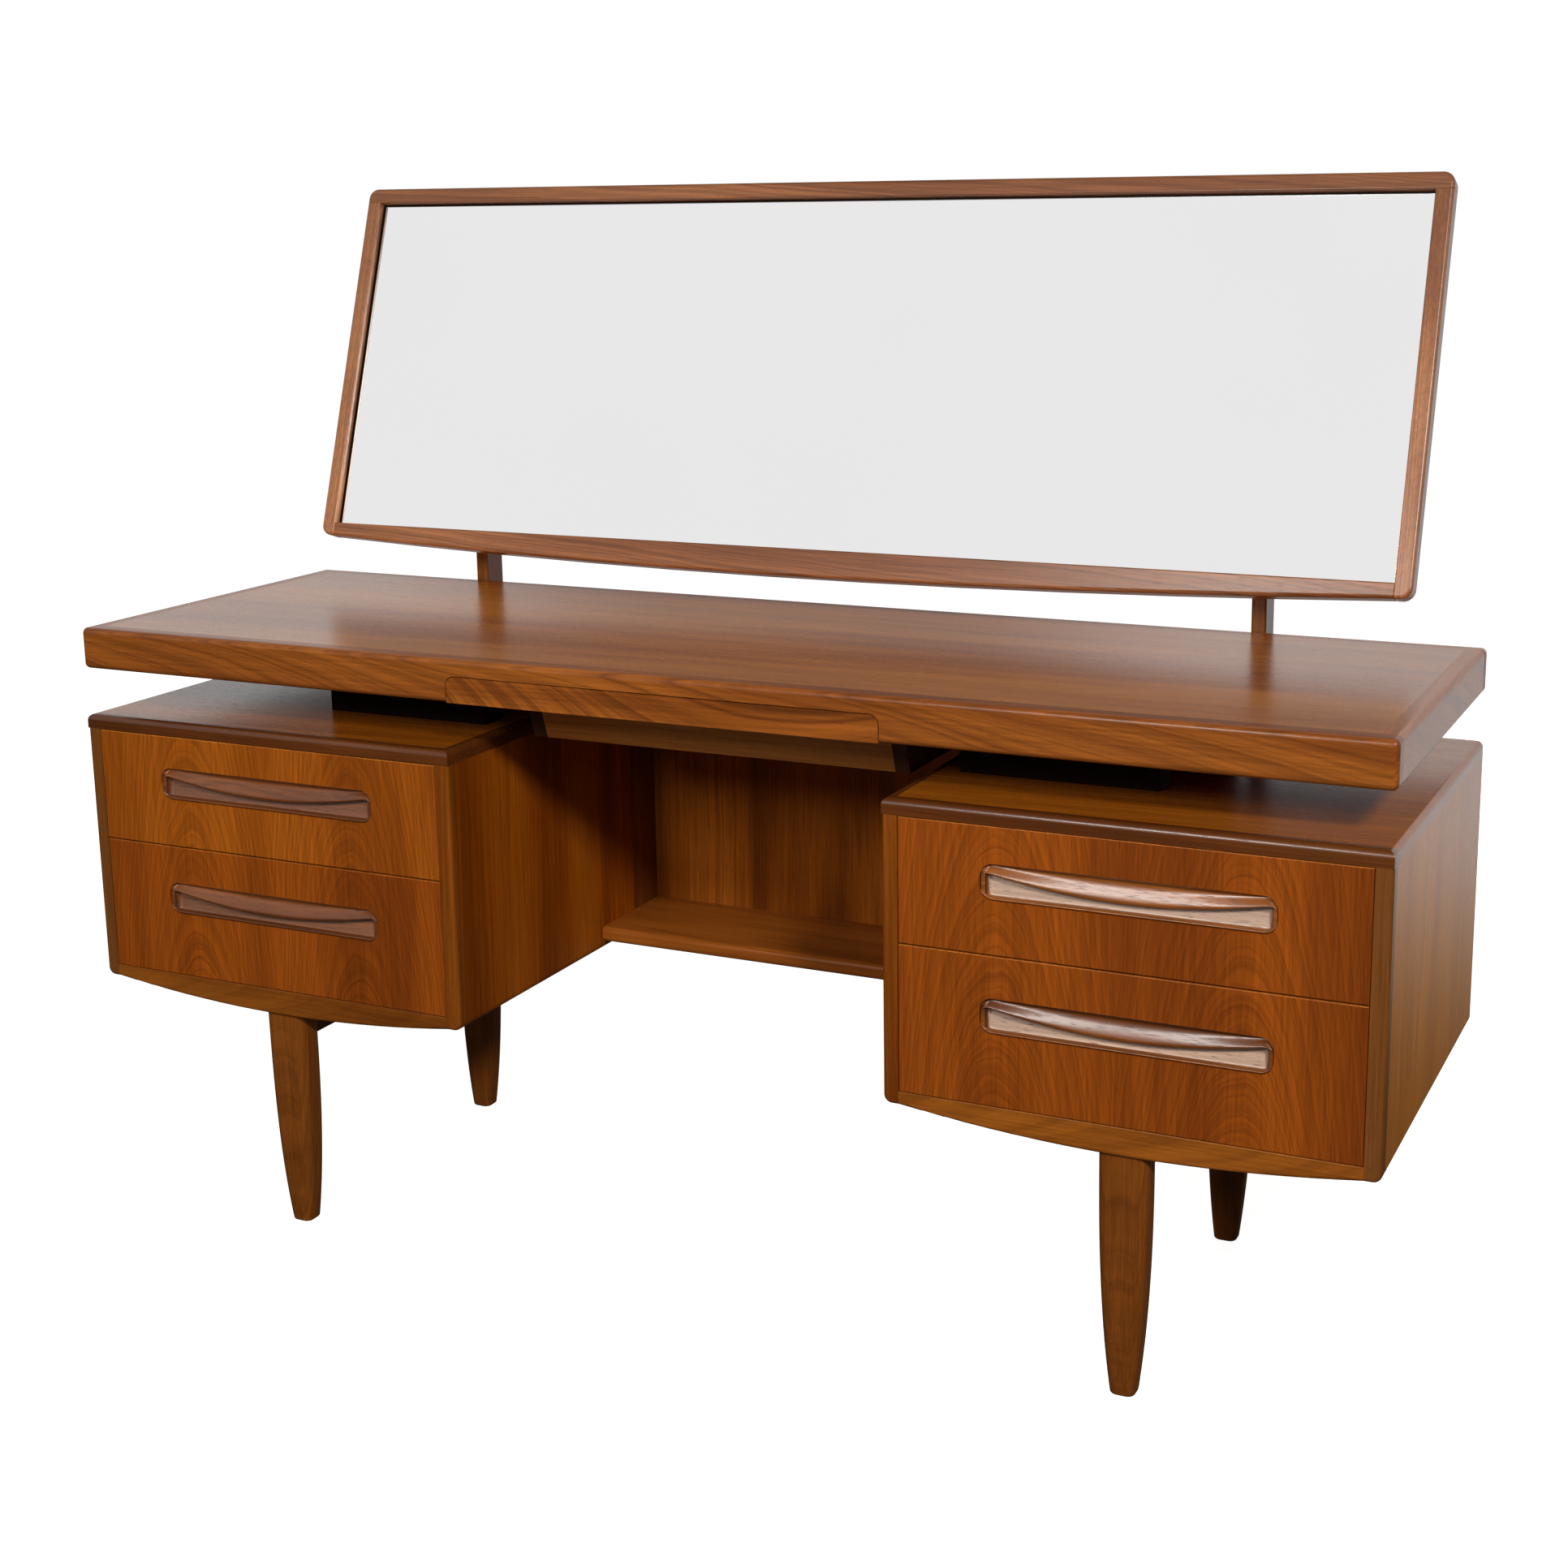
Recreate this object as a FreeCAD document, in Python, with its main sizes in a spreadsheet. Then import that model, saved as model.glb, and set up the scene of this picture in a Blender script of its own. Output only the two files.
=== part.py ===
# Dressing table with a long tilting mirror: a floating top on two drawer pedestals.
# Millimetres, +Z up, +X to the right, the front faces -Y. The origin is on the floor,
# under the middle of the whole object. Heights are given above the floor, and depths
# are given back from the front face of the table top, which stands at y = front_y.
import FreeCAD, Part
import math
import os
import re
import Sketcher

V = FreeCAD.Vector
doc = FreeCAD.newDocument("VanityTable")

# ---------------------------------------------------------------- driving dimensions
dimensions = {
    # table top
    "top_width": 1520, "top_depth": 466, "top_height": 702.6, "top_board": 18.8,
    "top_edge": 48.2, "lipping": 20, "arris": 6.5, "front_y": -270.23,
    # battens between the pedestals and the top
    "float_gap": 54.7, "spacer_deep": 36, "spacer_inner": 290, "spacer_outer": 503,
    "spacer_front": 127, "spacer_rear": 400,
    # pedestals
    "pedestal_width": 503.7, "pedestal_lid": 16.5, "panel": 17, "pedestal_base": 279,
    "floor_board": 14.4, "rail_deep": 16, "rail_bow": 16, "back_board": 6,
    "back_inset": 4, "lid_round": 7, "side_foot": 9, "side_arris": 4, "fine_arris": 0.8,
    # kneehole
    "shelf_front": 313.7, "shelf_height": 307.8, "shelf_board": 18.8,
    "knee_back_front": 453, "stile_front": 392, "stile_inset": 0,
    # pedestal drawers
    "drawer_split": 451.1, "drawer_gap": 0.8, "front_board": 18, "drawer_deep": 400,
    "side_board": 12, "side_gap": 1.2, "drawer_back": 10, "drawer_ply": 4,
    "upper_box": 100, "lower_box": 122, "box_lift": 10, "ply_lift": 6,
    "groove_high": 8.8, "groove_deep": 7, "runner_high": 8, "runner_proud": 7.6,
    "runner_front": 24, "runner_long": 396,
    # recessed handles
    "handle_long": 295, "handle_high": 37.5, "handle_round": 14, "handle_x": 508.3,
    "upper_handle": 526, "lower_handle": 388, "lip_end": 10, "lip_middle": 25,
    "recess_rim": 4, "recess_end": 6, "recess_deep": 13, "lip_thick": 6,
    # centre drawer
    "centre_half": 254.5, "centre_gap": 1, "centre_front": 19, "centre_round": 10,
    "centre_side": 213.5, "tray_floor": 656, "well_floor": 590, "well_top": 115,
    "well_slope": 22, "well_board": 12, "centre_deep": 405, "centre_rim": 681,
    "guide_inner": 214, "guide_wide": 16, "guide_end": 440, "tongue_height": 664,
    "tongue_proud": 6,
    # legs and the rails between them
    "leg_x": 507.5, "leg_front": 24.5, "leg_rear": 416, "leg_lean": 3.3,
    "leg_wide": 52, "leg_foot": 26, "leg_deep": 38, "leg_round": 0.33,
    "tenon_wide": 36, "foot_arris": 3, "leg_rail": 22, "leg_rail_low": 226,
    # mirror
    "tilt": 18.53, "pivot_y": 484.5, "pivot_height": 956.8, "mirror_half": 694.65,
    "mirror_top": 241.7, "mirror_rail": 19.3, "glass_low": -200.3, "mirror_foot": -216.7,
    "mirror_bow": 16, "mirror_front": -44, "mirror_back": -22, "mirror_round": 13,
    "frame_arris": 4, "glass_arris": 1.5,
    "rebate_front": -34, "rebate_wide": 7, "glass_thick": 4, "mirror_ply": 3,
    "cleat_wide": 60,
    # posts, brackets and pivot bolts
    "post_x": 511, "post_wide": 17, "post_front": 466, "post_deep": 37, "post_low": 570,
    "post_arris": 2.5, "bolt_radius": 3, "pin_gap": 0.05, "bracket_sheet": 2, "bracket_tall": 70,
    "ear_round": 10, "ear_gap": 0.5, "knob_radius": 11, "knob_long": 12,
    "screw_radius": 2, "screw_head": 4.5, "screw_low": 591, "screw_high": 678,
}

sheet = doc.addObject("Spreadsheet::Sheet", "Dims")
for row, (alias, size) in enumerate(dimensions.items(), start=1):
    sheet.set("A%d" % row, alias)
    sheet.set("B%d" % row, str(size))
    sheet.setAlias("B%d" % row, alias)
doc.recompute()

nodes = []


# ---------------------------------------------------------------- helpers
def formula(text):
    """A formula in the sheet's words, with each word pointed at its cell."""
    return re.sub(r"[a-z]+_[a-z_]+|\b(?:arris|lipping|panel|tilt)\b",
                  lambda word: "Dims." + word.group(0), text)


def number(text):
    """The value of a formula, in millimetres or degrees."""
    result = sheet.evalExpression(formula(text))
    return float(getattr(result, "Value", result))


def bind(thing, prop, text):
    """Ties one property of a feature to a formula."""
    thing.setExpression(prop, formula(text))


def place(thing, x="0", y="0", z="0"):
    """Puts a piece at a point: x from the middle, y back from the front face, z up."""
    bind(thing, ".Placement.Base.x", x)
    bind(thing, ".Placement.Base.y", "front_y + (%s)" % y)
    bind(thing, ".Placement.Base.z", z)


def tiltedPlace(thing):
    """Puts a piece drawn about the mirror's pivot at the pivot, leaning back."""
    back = FreeCAD.Rotation(V(1, 0, 0), -number("tilt"))
    thing.Placement = FreeCAD.Placement(V(0, 0, 0), back)
    place(thing, "0", "pivot_y", "pivot_height")


def keep(thing, name):
    """Names a finished piece and lists it as a node."""
    thing.Label = name
    nodes.append(thing)
    return thing


def box(name, low, high, tilted=False):
    """A plain board between two corners."""
    board = doc.addObject("Part::Box", name)
    for prop, a, b in zip(("Length", "Width", "Height"), low, high):
        bind(board, prop, "(%s) - (%s)" % (b, a))
    if tilted:
        # The corner is given about the pivot, so it turns with the mirror.
        corner = V(number(low[0]), number(low[1]), number(low[2]))
        back = FreeCAD.Rotation(V(1, 0, 0), -number("tilt"))
        turned = back.multVec(corner)
        board.Placement = FreeCAD.Placement(V(0, 0, 0), back)
        place(board, str(turned.x), "pivot_y + (%r)" % turned.y, "pivot_height + (%r)" % turned.z)
    else:
        place(board, low[0], low[1], low[2])
    return board


def board(name, low, high, tilted=False):
    """A plain board that is a node of its own."""
    return keep(box(name, low, high, tilted), name)


def group(name, pieces):
    """Alike pieces that share one node, as separate solids."""
    together = doc.addObject("Part::Compound", name)
    together.Links = pieces
    return keep(together, name)


def across(side, inner, outer):
    """The x limits of a piece between two distances from the middle, left or right."""
    if side == "right":
        return inner, outer
    return "-(%s)" % outer, "-(%s)" % inner


def sign(side):
    return "1" if side == "right" else "-1"


def newBody(name):
    return doc.addObject("PartDesign::Body", name)


def plane(body, role):
    """One of a body's own origin planes."""
    return next(f for f in body.Origin.OriginFeatures if f.Role == role)


def sketchOn(body, role, name, lift="0"):
    """An empty sketch on a body's origin plane, lifted along the plane's normal."""
    sketch = body.newObject("Sketcher::SketchObject", name)
    sketch.AttachmentSupport = [(plane(body, role), "")]
    sketch.MapMode = "FlatFace"
    bind(sketch, ".AttachmentOffset.Base.z", lift)
    return sketch


def pin(sketch, geometry, end, u, v):
    """Fixes one end of a line or arc at a point, given as two formulas."""
    for kind, text in (("DistanceX", u), ("DistanceY", v)):
        index = sketch.addConstraint(
            Sketcher.Constraint(kind, -1, 1, geometry, end, number(text)))
        bind(sketch, "Constraints[%d]" % index, text)


def outline(sketch, corners, bows=None):
    """A closed outline through the corners. bows gives a side's sagitta, on its right."""
    bows = bows or {}
    points = [V(number(u), number(v), 0) for u, v in corners]
    count = len(points)
    for i, start in enumerate(points):
        end = points[(i + 1) % count]
        if i in bows:
            chord = end - start
            middle = (start + end) / 2
            outward = V(chord.y, -chord.x, 0).normalize()
            top = middle + outward * number(bows[i])
            sketch.addGeometry(Part.Arc(start, top, end), False)
        else:
            sketch.addGeometry(Part.LineSegment(start, end), False)
    ends = []
    for i in range(count):
        # An arc is stored anticlockwise, so the end that starts the side is looked up.
        near = sketch.getPoint(i, 1).distanceToPoint(points[i])
        ends.append((1, 2) if near < 1e-6 else (2, 1))
    for i in range(count):
        following = (i + 1) % count
        sketch.addConstraint(Sketcher.Constraint(
            "Coincident", i, ends[i][1], following, ends[following][0]))
    for i, (u, v) in enumerate(corners):
        pin(sketch, i, ends[i][0], u, v)
    for i, sagitta in bows.items():
        a, b = corners[i], corners[(i + 1) % count]
        chord = "sqrt(((%s) - (%s))^2 + ((%s) - (%s))^2)" % (b[0], a[0], b[1], a[1])
        radius = "abs((%s)^2 / (8 * (%s)) + (%s) / 2)" % (chord, sagitta, sagitta)
        index = sketch.addConstraint(Sketcher.Constraint("Radius", i, number(radius)))
        bind(sketch, "Constraints[%d]" % index, radius)


def roundedRectangle(sketch, low, high, radius):
    """A rectangle with four equal round corners."""
    x0, y0 = number(low[0]), number(low[1])
    x1, y1 = number(high[0]), number(high[1])
    r = number(radius)
    lines = [(V(x0 + r, y0, 0), V(x1 - r, y0, 0)), (V(x1, y0 + r, 0), V(x1, y1 - r, 0)),
             (V(x1 - r, y1, 0), V(x0 + r, y1, 0)), (V(x0, y1 - r, 0), V(x0, y0 + r, 0))]
    centres = [V(x1 - r, y0 + r, 0), V(x1 - r, y1 - r, 0),
               V(x0 + r, y1 - r, 0), V(x0 + r, y0 + r, 0)]
    for start, end in lines:
        sketch.addGeometry(Part.LineSegment(start, end), False)
    for i, centre in enumerate(centres):
        circle = Part.Circle(centre, V(0, 0, 1), r)
        start = math.pi / 2 * (i - 1)
        sketch.addGeometry(Part.ArcOfCircle(circle, start, start + math.pi / 2), False)
    for i in range(4):
        sketch.addConstraint(Sketcher.Constraint("Tangent", i, 2, 4 + i, 1))
        sketch.addConstraint(Sketcher.Constraint("Tangent", 4 + i, 2, (i + 1) % 4, 1))
        sketch.addConstraint(Sketcher.Constraint("Horizontal" if i % 2 == 0 else "Vertical", i))
    for i in range(1, 4):
        sketch.addConstraint(Sketcher.Constraint("Equal", 4, 4 + i))
    for kind, line, text in (("DistanceY", 0, low[1]), ("DistanceX", 1, high[0]),
                             ("DistanceY", 2, high[1]), ("DistanceX", 3, low[0])):
        index = sketch.addConstraint(Sketcher.Constraint(kind, -1, 1, line, 1, number(text)))
        bind(sketch, "Constraints[%d]" % index, text)
    index = sketch.addConstraint(Sketcher.Constraint("Radius", 4, r))
    bind(sketch, "Constraints[%d]" % index, radius)


def pad(body, sketch, name, length, backwards=False):
    """Gives a sketch its thickness, along its normal or against it."""
    feature = body.newObject("PartDesign::Pad", name)
    feature.Profile = sketch
    feature.Reversed = backwards
    bind(feature, "Length", length)
    sketch.Visibility = False
    doc.recompute()
    return feature


def pocket(body, sketch, name, length, backwards=False):
    """Cuts a sketch into a body, and makes sure that something was cut."""
    before = body.Shape.Volume
    feature = body.newObject("PartDesign::Pocket", name)
    feature.Profile = sketch
    feature.Reversed = backwards
    bind(feature, "Length", length)
    doc.recompute()
    if body.Shape.Volume > before - 1:
        raise RuntimeError("%s cut nothing from %s" % (name, body.Name))
    return feature


def roundOver(body, name, radius, wanted):
    """Rounds the edges of a body whose middle point passes a test."""
    base = body.Tip
    edges = []
    for i, edge in enumerate(base.Shape.Edges, start=1):
        middle = edge.valueAt((edge.FirstParameter + edge.LastParameter) / 2)
        along = edge.tangentAt((edge.FirstParameter + edge.LastParameter) / 2)
        if wanted(middle, along):
            edges.append("Edge%d" % i)
    feature = body.newObject("PartDesign::Fillet", name)
    feature.Base = (base, edges)
    bind(feature, "Radius", radius)
    doc.recompute()
    return feature


def near(a, b):
    return abs(a - b) < 0.01


# ---------------------------------------------------------------- shared formulas
halfTop = "top_width / 2"
topUnder = "(top_height - top_edge)"
boardUnder = "(top_height - top_board)"
lidTop = "(top_height - top_edge - float_gap)"
lidUnder = "(top_height - top_edge - float_gap - pedestal_lid)"
pedestalInner = "(top_width / 2 - pedestal_width)"
outerInside = "(top_width / 2 - panel)"
innerInside = "(top_width / 2 - pedestal_width + panel)"
drawerFloor = "(pedestal_base + floor_board)"
backFront = "(top_depth - back_inset - back_board)"
sides = ("left", "right")


# ---------------------------------------------------------------- table top
def makeTop():
    """A board in a deep solid edging, whose front carries the centre drawer's opening."""
    board("top_board", ("lipping - top_width / 2", "lipping", boardUnder),
          ("top_width / 2 - lipping", "top_depth - lipping", "top_height"))

    front = newBody("top_front_lipping")
    sketch = sketchOn(front, "XZ_Plane", "FrontLippingFace")
    outline(sketch, [("-top_width / 2", "-top_edge"), ("-centre_half", "-top_edge"),
                     ("-centre_half", "-top_board"), ("centre_half", "-top_board"),
                     ("centre_half", "-top_edge"), ("top_width / 2", "-top_edge"),
                     ("top_width / 2", "0"), ("-top_width / 2", "0")])
    pad(front, sketch, "FrontLippingDepth", "lipping", backwards=True)
    wide, tall = number(halfTop), number("top_edge")
    roundOver(front, "OpeningCorners", "centre_round + centre_gap",
              lambda p, d: near(abs(d.y), 1) and near(abs(p.x), number("centre_half"))
              and near(p.z, -number("top_board")))
    roundOver(front, "FrontArris", "arris",
              lambda p, d: (near(p.y, 0) and near(abs(d.x), 1) and
                            (near(p.z, 0) or near(p.z, -tall)) and
                            (near(p.z, 0) or abs(p.x) > number("centre_half")))
              or (near(abs(p.x), wide) and near(p.y, 0) and near(abs(d.z), 1))
              or (near(abs(p.x), wide) and near(abs(d.y), 1)))
    place(front, "0", "0", "top_height")
    keep(front, "top_front_lipping")

    def rounded(name, lowX, highX, lowY, highY, wanted):
        strip = newBody(name)
        face = sketchOn(strip, "XY_Plane", name + "_outline")
        outline(face, [("0", "0"), ("(%s) - (%s)" % (highX, lowX), "0"),
                       ("(%s) - (%s)" % (highX, lowX), "(%s) - (%s)" % (highY, lowY)),
                       ("0", "(%s) - (%s)" % (highY, lowY))])
        pad(strip, face, name + "_height", "top_edge")
        roundOver(strip, name + "_arris", "arris", wanted)
        place(strip, lowX, lowY, topUnder)
        return strip

    deep = number("lipping")
    rest = [rounded("top_back_lipping", "-" + halfTop, halfTop, "top_depth - lipping", "top_depth",
                    lambda p, d: near(p.y, deep) or near(p.x, 0) or near(p.x, 2 * wide))]
    for side in sides:
        lowX, highX = across(side, "top_width / 2 - lipping", halfTop)
        face = deep if side == "right" else 0
        rest.append(rounded("top_%s_lipping" % side, lowX, highX, "lipping", "top_depth - lipping",
                            lambda p, d: near(p.x, face) and near(abs(d.y), 1)))
    group("top_edge_lippings", rest)


def makeSpacers():
    """Four battens hold the top clear of the pedestals."""
    battens = []
    for side in sides:
        lowX, highX = across(side, "spacer_inner", "spacer_outer")
        for where in ("spacer_front", "spacer_rear"):
            battens.append(box("%s_%s" % (side, where), (lowX, where, lidTop),
                               (highX, "%s + spacer_deep" % where, topUnder)))
    group("top_spacers", battens)


# ---------------------------------------------------------------- pedestals
def makeSide(side, wall, inner, outer, rear):
    """An upright panel, its outer lower edge well rounded and its front arris softened."""
    name = "%s_%s_side" % (side, wall)
    panel = newBody(name)
    sketch = sketchOn(panel, "YZ_Plane", name + "_face")
    outline(sketch, [("0", "pedestal_base"), (rear, "pedestal_base"), (rear, lidUnder), ("0", lidUnder)])
    pad(panel, sketch, name + "_thickness", "panel")
    faceX, backX = number("panel"), 0
    if (side == "right") != (wall == "outer"):
        faceX, backX = backX, faceX
    low, high = number("pedestal_base"), number(lidUnder)
    roundOver(panel, name + "_foot", "side_foot",
              lambda p, d: near(p.x, faceX) and near(p.z, low) and near(abs(d.y), 1))
    roundOver(panel, name + "_arris", "side_arris",
              lambda p, d: near(p.y, 0) and not near(p.x, backX) and not near(p.z, high))
    lowX, highX = across(side, inner, outer)
    place(panel, lowX)
    keep(panel, name)


def makePedestal(side):
    """Two sides under an overlying lid, with a floor, a back and a bowed front rail."""
    lid = newBody("%s_pedestal_lid" % side)
    sketch = sketchOn(lid, "XY_Plane", "%sLidOutline" % side)
    outline(sketch, [("0", "0"), ("pedestal_width", "0"),
                     ("pedestal_width", "top_depth"), ("0", "top_depth")])
    pad(lid, sketch, "%sLidThickness" % side, "pedestal_lid")
    wide, thick = number("pedestal_width"), number("pedestal_lid")
    roundOver(lid, "%sLidArris" % side, "lid_round",
              lambda p, d: near(p.z, thick) and (near(p.y, 0) or near(p.x, 0) or near(p.x, wide)))
    lowX, highX = across(side, pedestalInner, halfTop)
    place(lid, lowX, "0", lidUnder)
    keep(lid, "%s_pedestal_lid" % side)

    makeSide(side, "outer", outerInside, halfTop, "top_depth")
    makeSide(side, "inner", pedestalInner, innerInside, "stile_front")

    rail = newBody("%s_bottom_rail" % side)
    sketch = sketchOn(rail, "XZ_Plane", "%sRailFace" % side)
    span = "(pedestal_width - 2 * panel)"
    outline(sketch, [("0", "0"), (span, "0"), (span, "floor_board"), ("0", "floor_board")],
            bows={0: "rail_bow"})
    pad(rail, sketch, "%sRailDepth" % side, "rail_deep", backwards=True)
    roundOver(rail, "%sRailLowerArris" % side, "side_arris",
              lambda p, d: near(p.y, 0) and p.z < 0)
    roundOver(rail, "%sRailUpperArris" % side, "fine_arris",
              lambda p, d: near(p.y, 0) and near(p.z, number("floor_board")))
    lowX, highX = across(side, innerInside, outerInside)
    place(rail, lowX, "0", "pedestal_base")
    keep(rail, "%s_bottom_rail" % side)


def makePedestalGroups():
    """Floors, backs, the kneehole's rear stiles and the drawer runners, left and right."""
    floors, backs, stiles, runners = [], [], [], []
    for side in sides:
        lowX, highX = across(side, innerInside, outerInside)
        floors.append(box("%s_floor" % side, (lowX, "rail_deep", "pedestal_base"),
                          (highX, backFront, drawerFloor)))
        backs.append(box("%s_back" % side, (lowX, backFront, "pedestal_base"),
                         (highX, "top_depth - back_inset", lidUnder)))
        lowX, highX = across(side, "top_width / 2 - pedestal_width + stile_inset", innerInside)
        stiles.append(box("%s_stile" % side, (lowX, "stile_front", "pedestal_base"),
                          (highX, "top_depth", lidUnder)))
        walls = {"outer": ("(top_width / 2 - panel - runner_proud)", outerInside),
                 "inner": (innerInside, "(top_width / 2 - pedestal_width + panel + runner_proud)")}
        for wall, (inner, outer) in walls.items():
            lowX, highX = across(side, inner, outer)
            for level in levels:
                low = "(%s) - runner_high / 2" % grooveHeight(level)
                runners.append(box("%s_%s_%s_runner" % (side, wall, level),
                                   (lowX, "runner_front", low),
                                   (highX, "runner_front + runner_long", low + " + runner_high")))
    group("pedestal_floors", floors)
    group("pedestal_backs", backs)
    group("kneehole_rear_stiles", stiles)
    group("drawer_runners", runners)


# ---------------------------------------------------------------- pedestal drawers
levels = {
    "upper": {"low": "(drawer_split + drawer_gap)",
              "high": "(top_height - top_edge - float_gap - pedestal_lid - drawer_gap)",
              "handle": "upper_handle", "box": "upper_box"},
    "lower": {"low": "(pedestal_base + floor_board + drawer_gap)",
              "high": "(drawer_split - drawer_gap)",
              "handle": "lower_handle", "box": "lower_box"},
}


def boxBottom(level):
    """The height of a drawer side's lower edge."""
    return "(%s + box_lift)" % levels[level]["low"]


def grooveHeight(level):
    """The height of the middle of a drawer side's groove."""
    return "(%s + %s / 2)" % (boxBottom(level), levels[level]["box"])


def makeDrawerFront(name, side, level):
    """A veneered front with a long opening for its handle."""
    low, high = levels[level]["low"], levels[level]["high"]
    middle = levels[level]["handle"]
    front = newBody("%s_front" % name)
    sketch = sketchOn(front, "XZ_Plane", "%s_front_face" % name)
    wide = "(pedestal_width - 2 * panel - 2 * drawer_gap)"
    outline(sketch, [("0", low), (wide, low), (wide, high), ("0", high)])
    pad(front, sketch, "%s_front_depth" % name, "front_board", backwards=True)
    rim = (number(wide), number(low), number(high))
    roundOver(front, "%s_front_arris" % name, "fine_arris",
              lambda p, d: near(p.y, 0) and (near(p.x, 0) or near(p.x, rim[0])
                                             or near(p.z, rim[1]) or near(p.z, rim[2])))
    hole = sketchOn(front, "XZ_Plane", "%s_handle_hole" % name)
    start = "(handle_x - top_width / 2 + pedestal_width - panel - drawer_gap)"
    if side == "left":
        start = "(top_width / 2 - panel - drawer_gap - handle_x)"
    roundedRectangle(hole, ("%s - handle_long / 2" % start, "%s - handle_high / 2" % middle),
                     ("%s + handle_long / 2" % start, "%s + handle_high / 2" % middle),
                     "handle_round")
    pocket(front, hole, "%s_handle_opening" % name, "front_board")
    lowX, highX = across(side, "(%s + drawer_gap)" % innerInside, "(%s - drawer_gap)" % outerInside)
    place(front, lowX)
    keep(front, "%s_front" % name)


def makeHandle(name, side, level):
    """A solid block let into the front, scooped out below a lip that dips in the middle."""
    handle = newBody("%s_handle" % name)
    block = sketchOn(handle, "XZ_Plane", "%s_block" % name)
    roundedRectangle(block, ("-handle_long / 2", "-handle_high / 2"),
                     ("handle_long / 2", "handle_high / 2"), "handle_round")
    pad(handle, block, "%s_block_depth" % name, "front_board", backwards=True)
    ends = "handle_long / 2 - recess_end"
    floor = "recess_rim - handle_high / 2"
    recess = sketchOn(handle, "XZ_Plane", "%s_recess" % name)
    outline(recess, [("-(%s)" % ends, floor), (ends, floor),
                     (ends, "handle_high / 2 - lip_end"), ("-(%s)" % ends, "handle_high / 2 - lip_end")],
            bows={2: "lip_end - lip_middle"})
    pocket(handle, recess, "%s_scoop" % name, "recess_deep")
    behind = sketchOn(handle, "XZ_Plane", "%s_behind_lip" % name, lift="-lip_thick")
    roundedRectangle(behind, ("-(%s)" % ends, floor),
                     (ends, "handle_high / 2 - recess_rim"), "recess_rim")
    pocket(handle, behind, "%s_undercut" % name, "recess_deep - lip_thick")
    place(handle, "%s * handle_x" % sign(side), "0", levels[level]["handle"])
    keep(handle, "%s_handle" % name)


def makeDrawerSides(name, side, level):
    """Two sides, each with a groove that rides on its runner."""
    bottom, tall = boxBottom(level), levels[level]["box"]
    middle = grooveHeight(level)
    made = []
    walls = {"outer": ("(%s - side_gap - side_board)" % outerInside, "(%s - side_gap)" % outerInside),
             "inner": ("(%s + side_gap)" % innerInside, "(%s + side_gap + side_board)" % innerInside)}
    for wall, (inner, outer) in walls.items():
        lowX, highX = across(side, inner, outer)
        plank = box("%s_%s_plank" % (name, wall), (lowX, "front_board", bottom),
                    (highX, "front_board + drawer_deep", "%s + %s" % (bottom, tall)))
        if (wall == "outer") == (side == "right"):
            grooveLow, grooveHigh = "(%s) - groove_deep" % highX, "(%s) + 1" % highX
        else:
            grooveLow, grooveHigh = "(%s) - 1" % lowX, "(%s) + groove_deep" % lowX
        slot = box("%s_%s_slot" % (name, wall),
                   (grooveLow, "front_board", "%s - groove_high / 2" % middle),
                   (grooveHigh, "front_board + drawer_deep + 1", "%s + groove_high / 2" % middle))
        grooved = doc.addObject("Part::Cut", "%s_%s_side" % (name, wall))
        grooved.Base, grooved.Tool = plank, slot
        made.append(grooved)
    group("%s_sides" % name, made)


def makeDrawer(side, level):
    """A front, a handle, two sides, a back and a thin bottom."""
    name = "%s_%s_drawer" % (level, side)
    makeDrawerFront(name, side, level)
    makeHandle(name, side, level)
    makeDrawerSides(name, side, level)
    bottom, tall = boxBottom(level), levels[level]["box"]
    lowX, highX = across(side, "(%s + side_gap + side_board)" % innerInside,
                         "(%s - side_gap - side_board)" % outerInside)
    ply = "%s + ply_lift" % bottom
    board("%s_back" % name, (lowX, "front_board + drawer_deep - drawer_back", ply + " + drawer_ply"),
          (highX, "front_board + drawer_deep", "%s + %s - 8" % (bottom, tall)))
    board("%s_bottom" % name, (lowX, "front_board", ply),
          (highX, "front_board + drawer_deep", ply + " + drawer_ply"))


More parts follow.
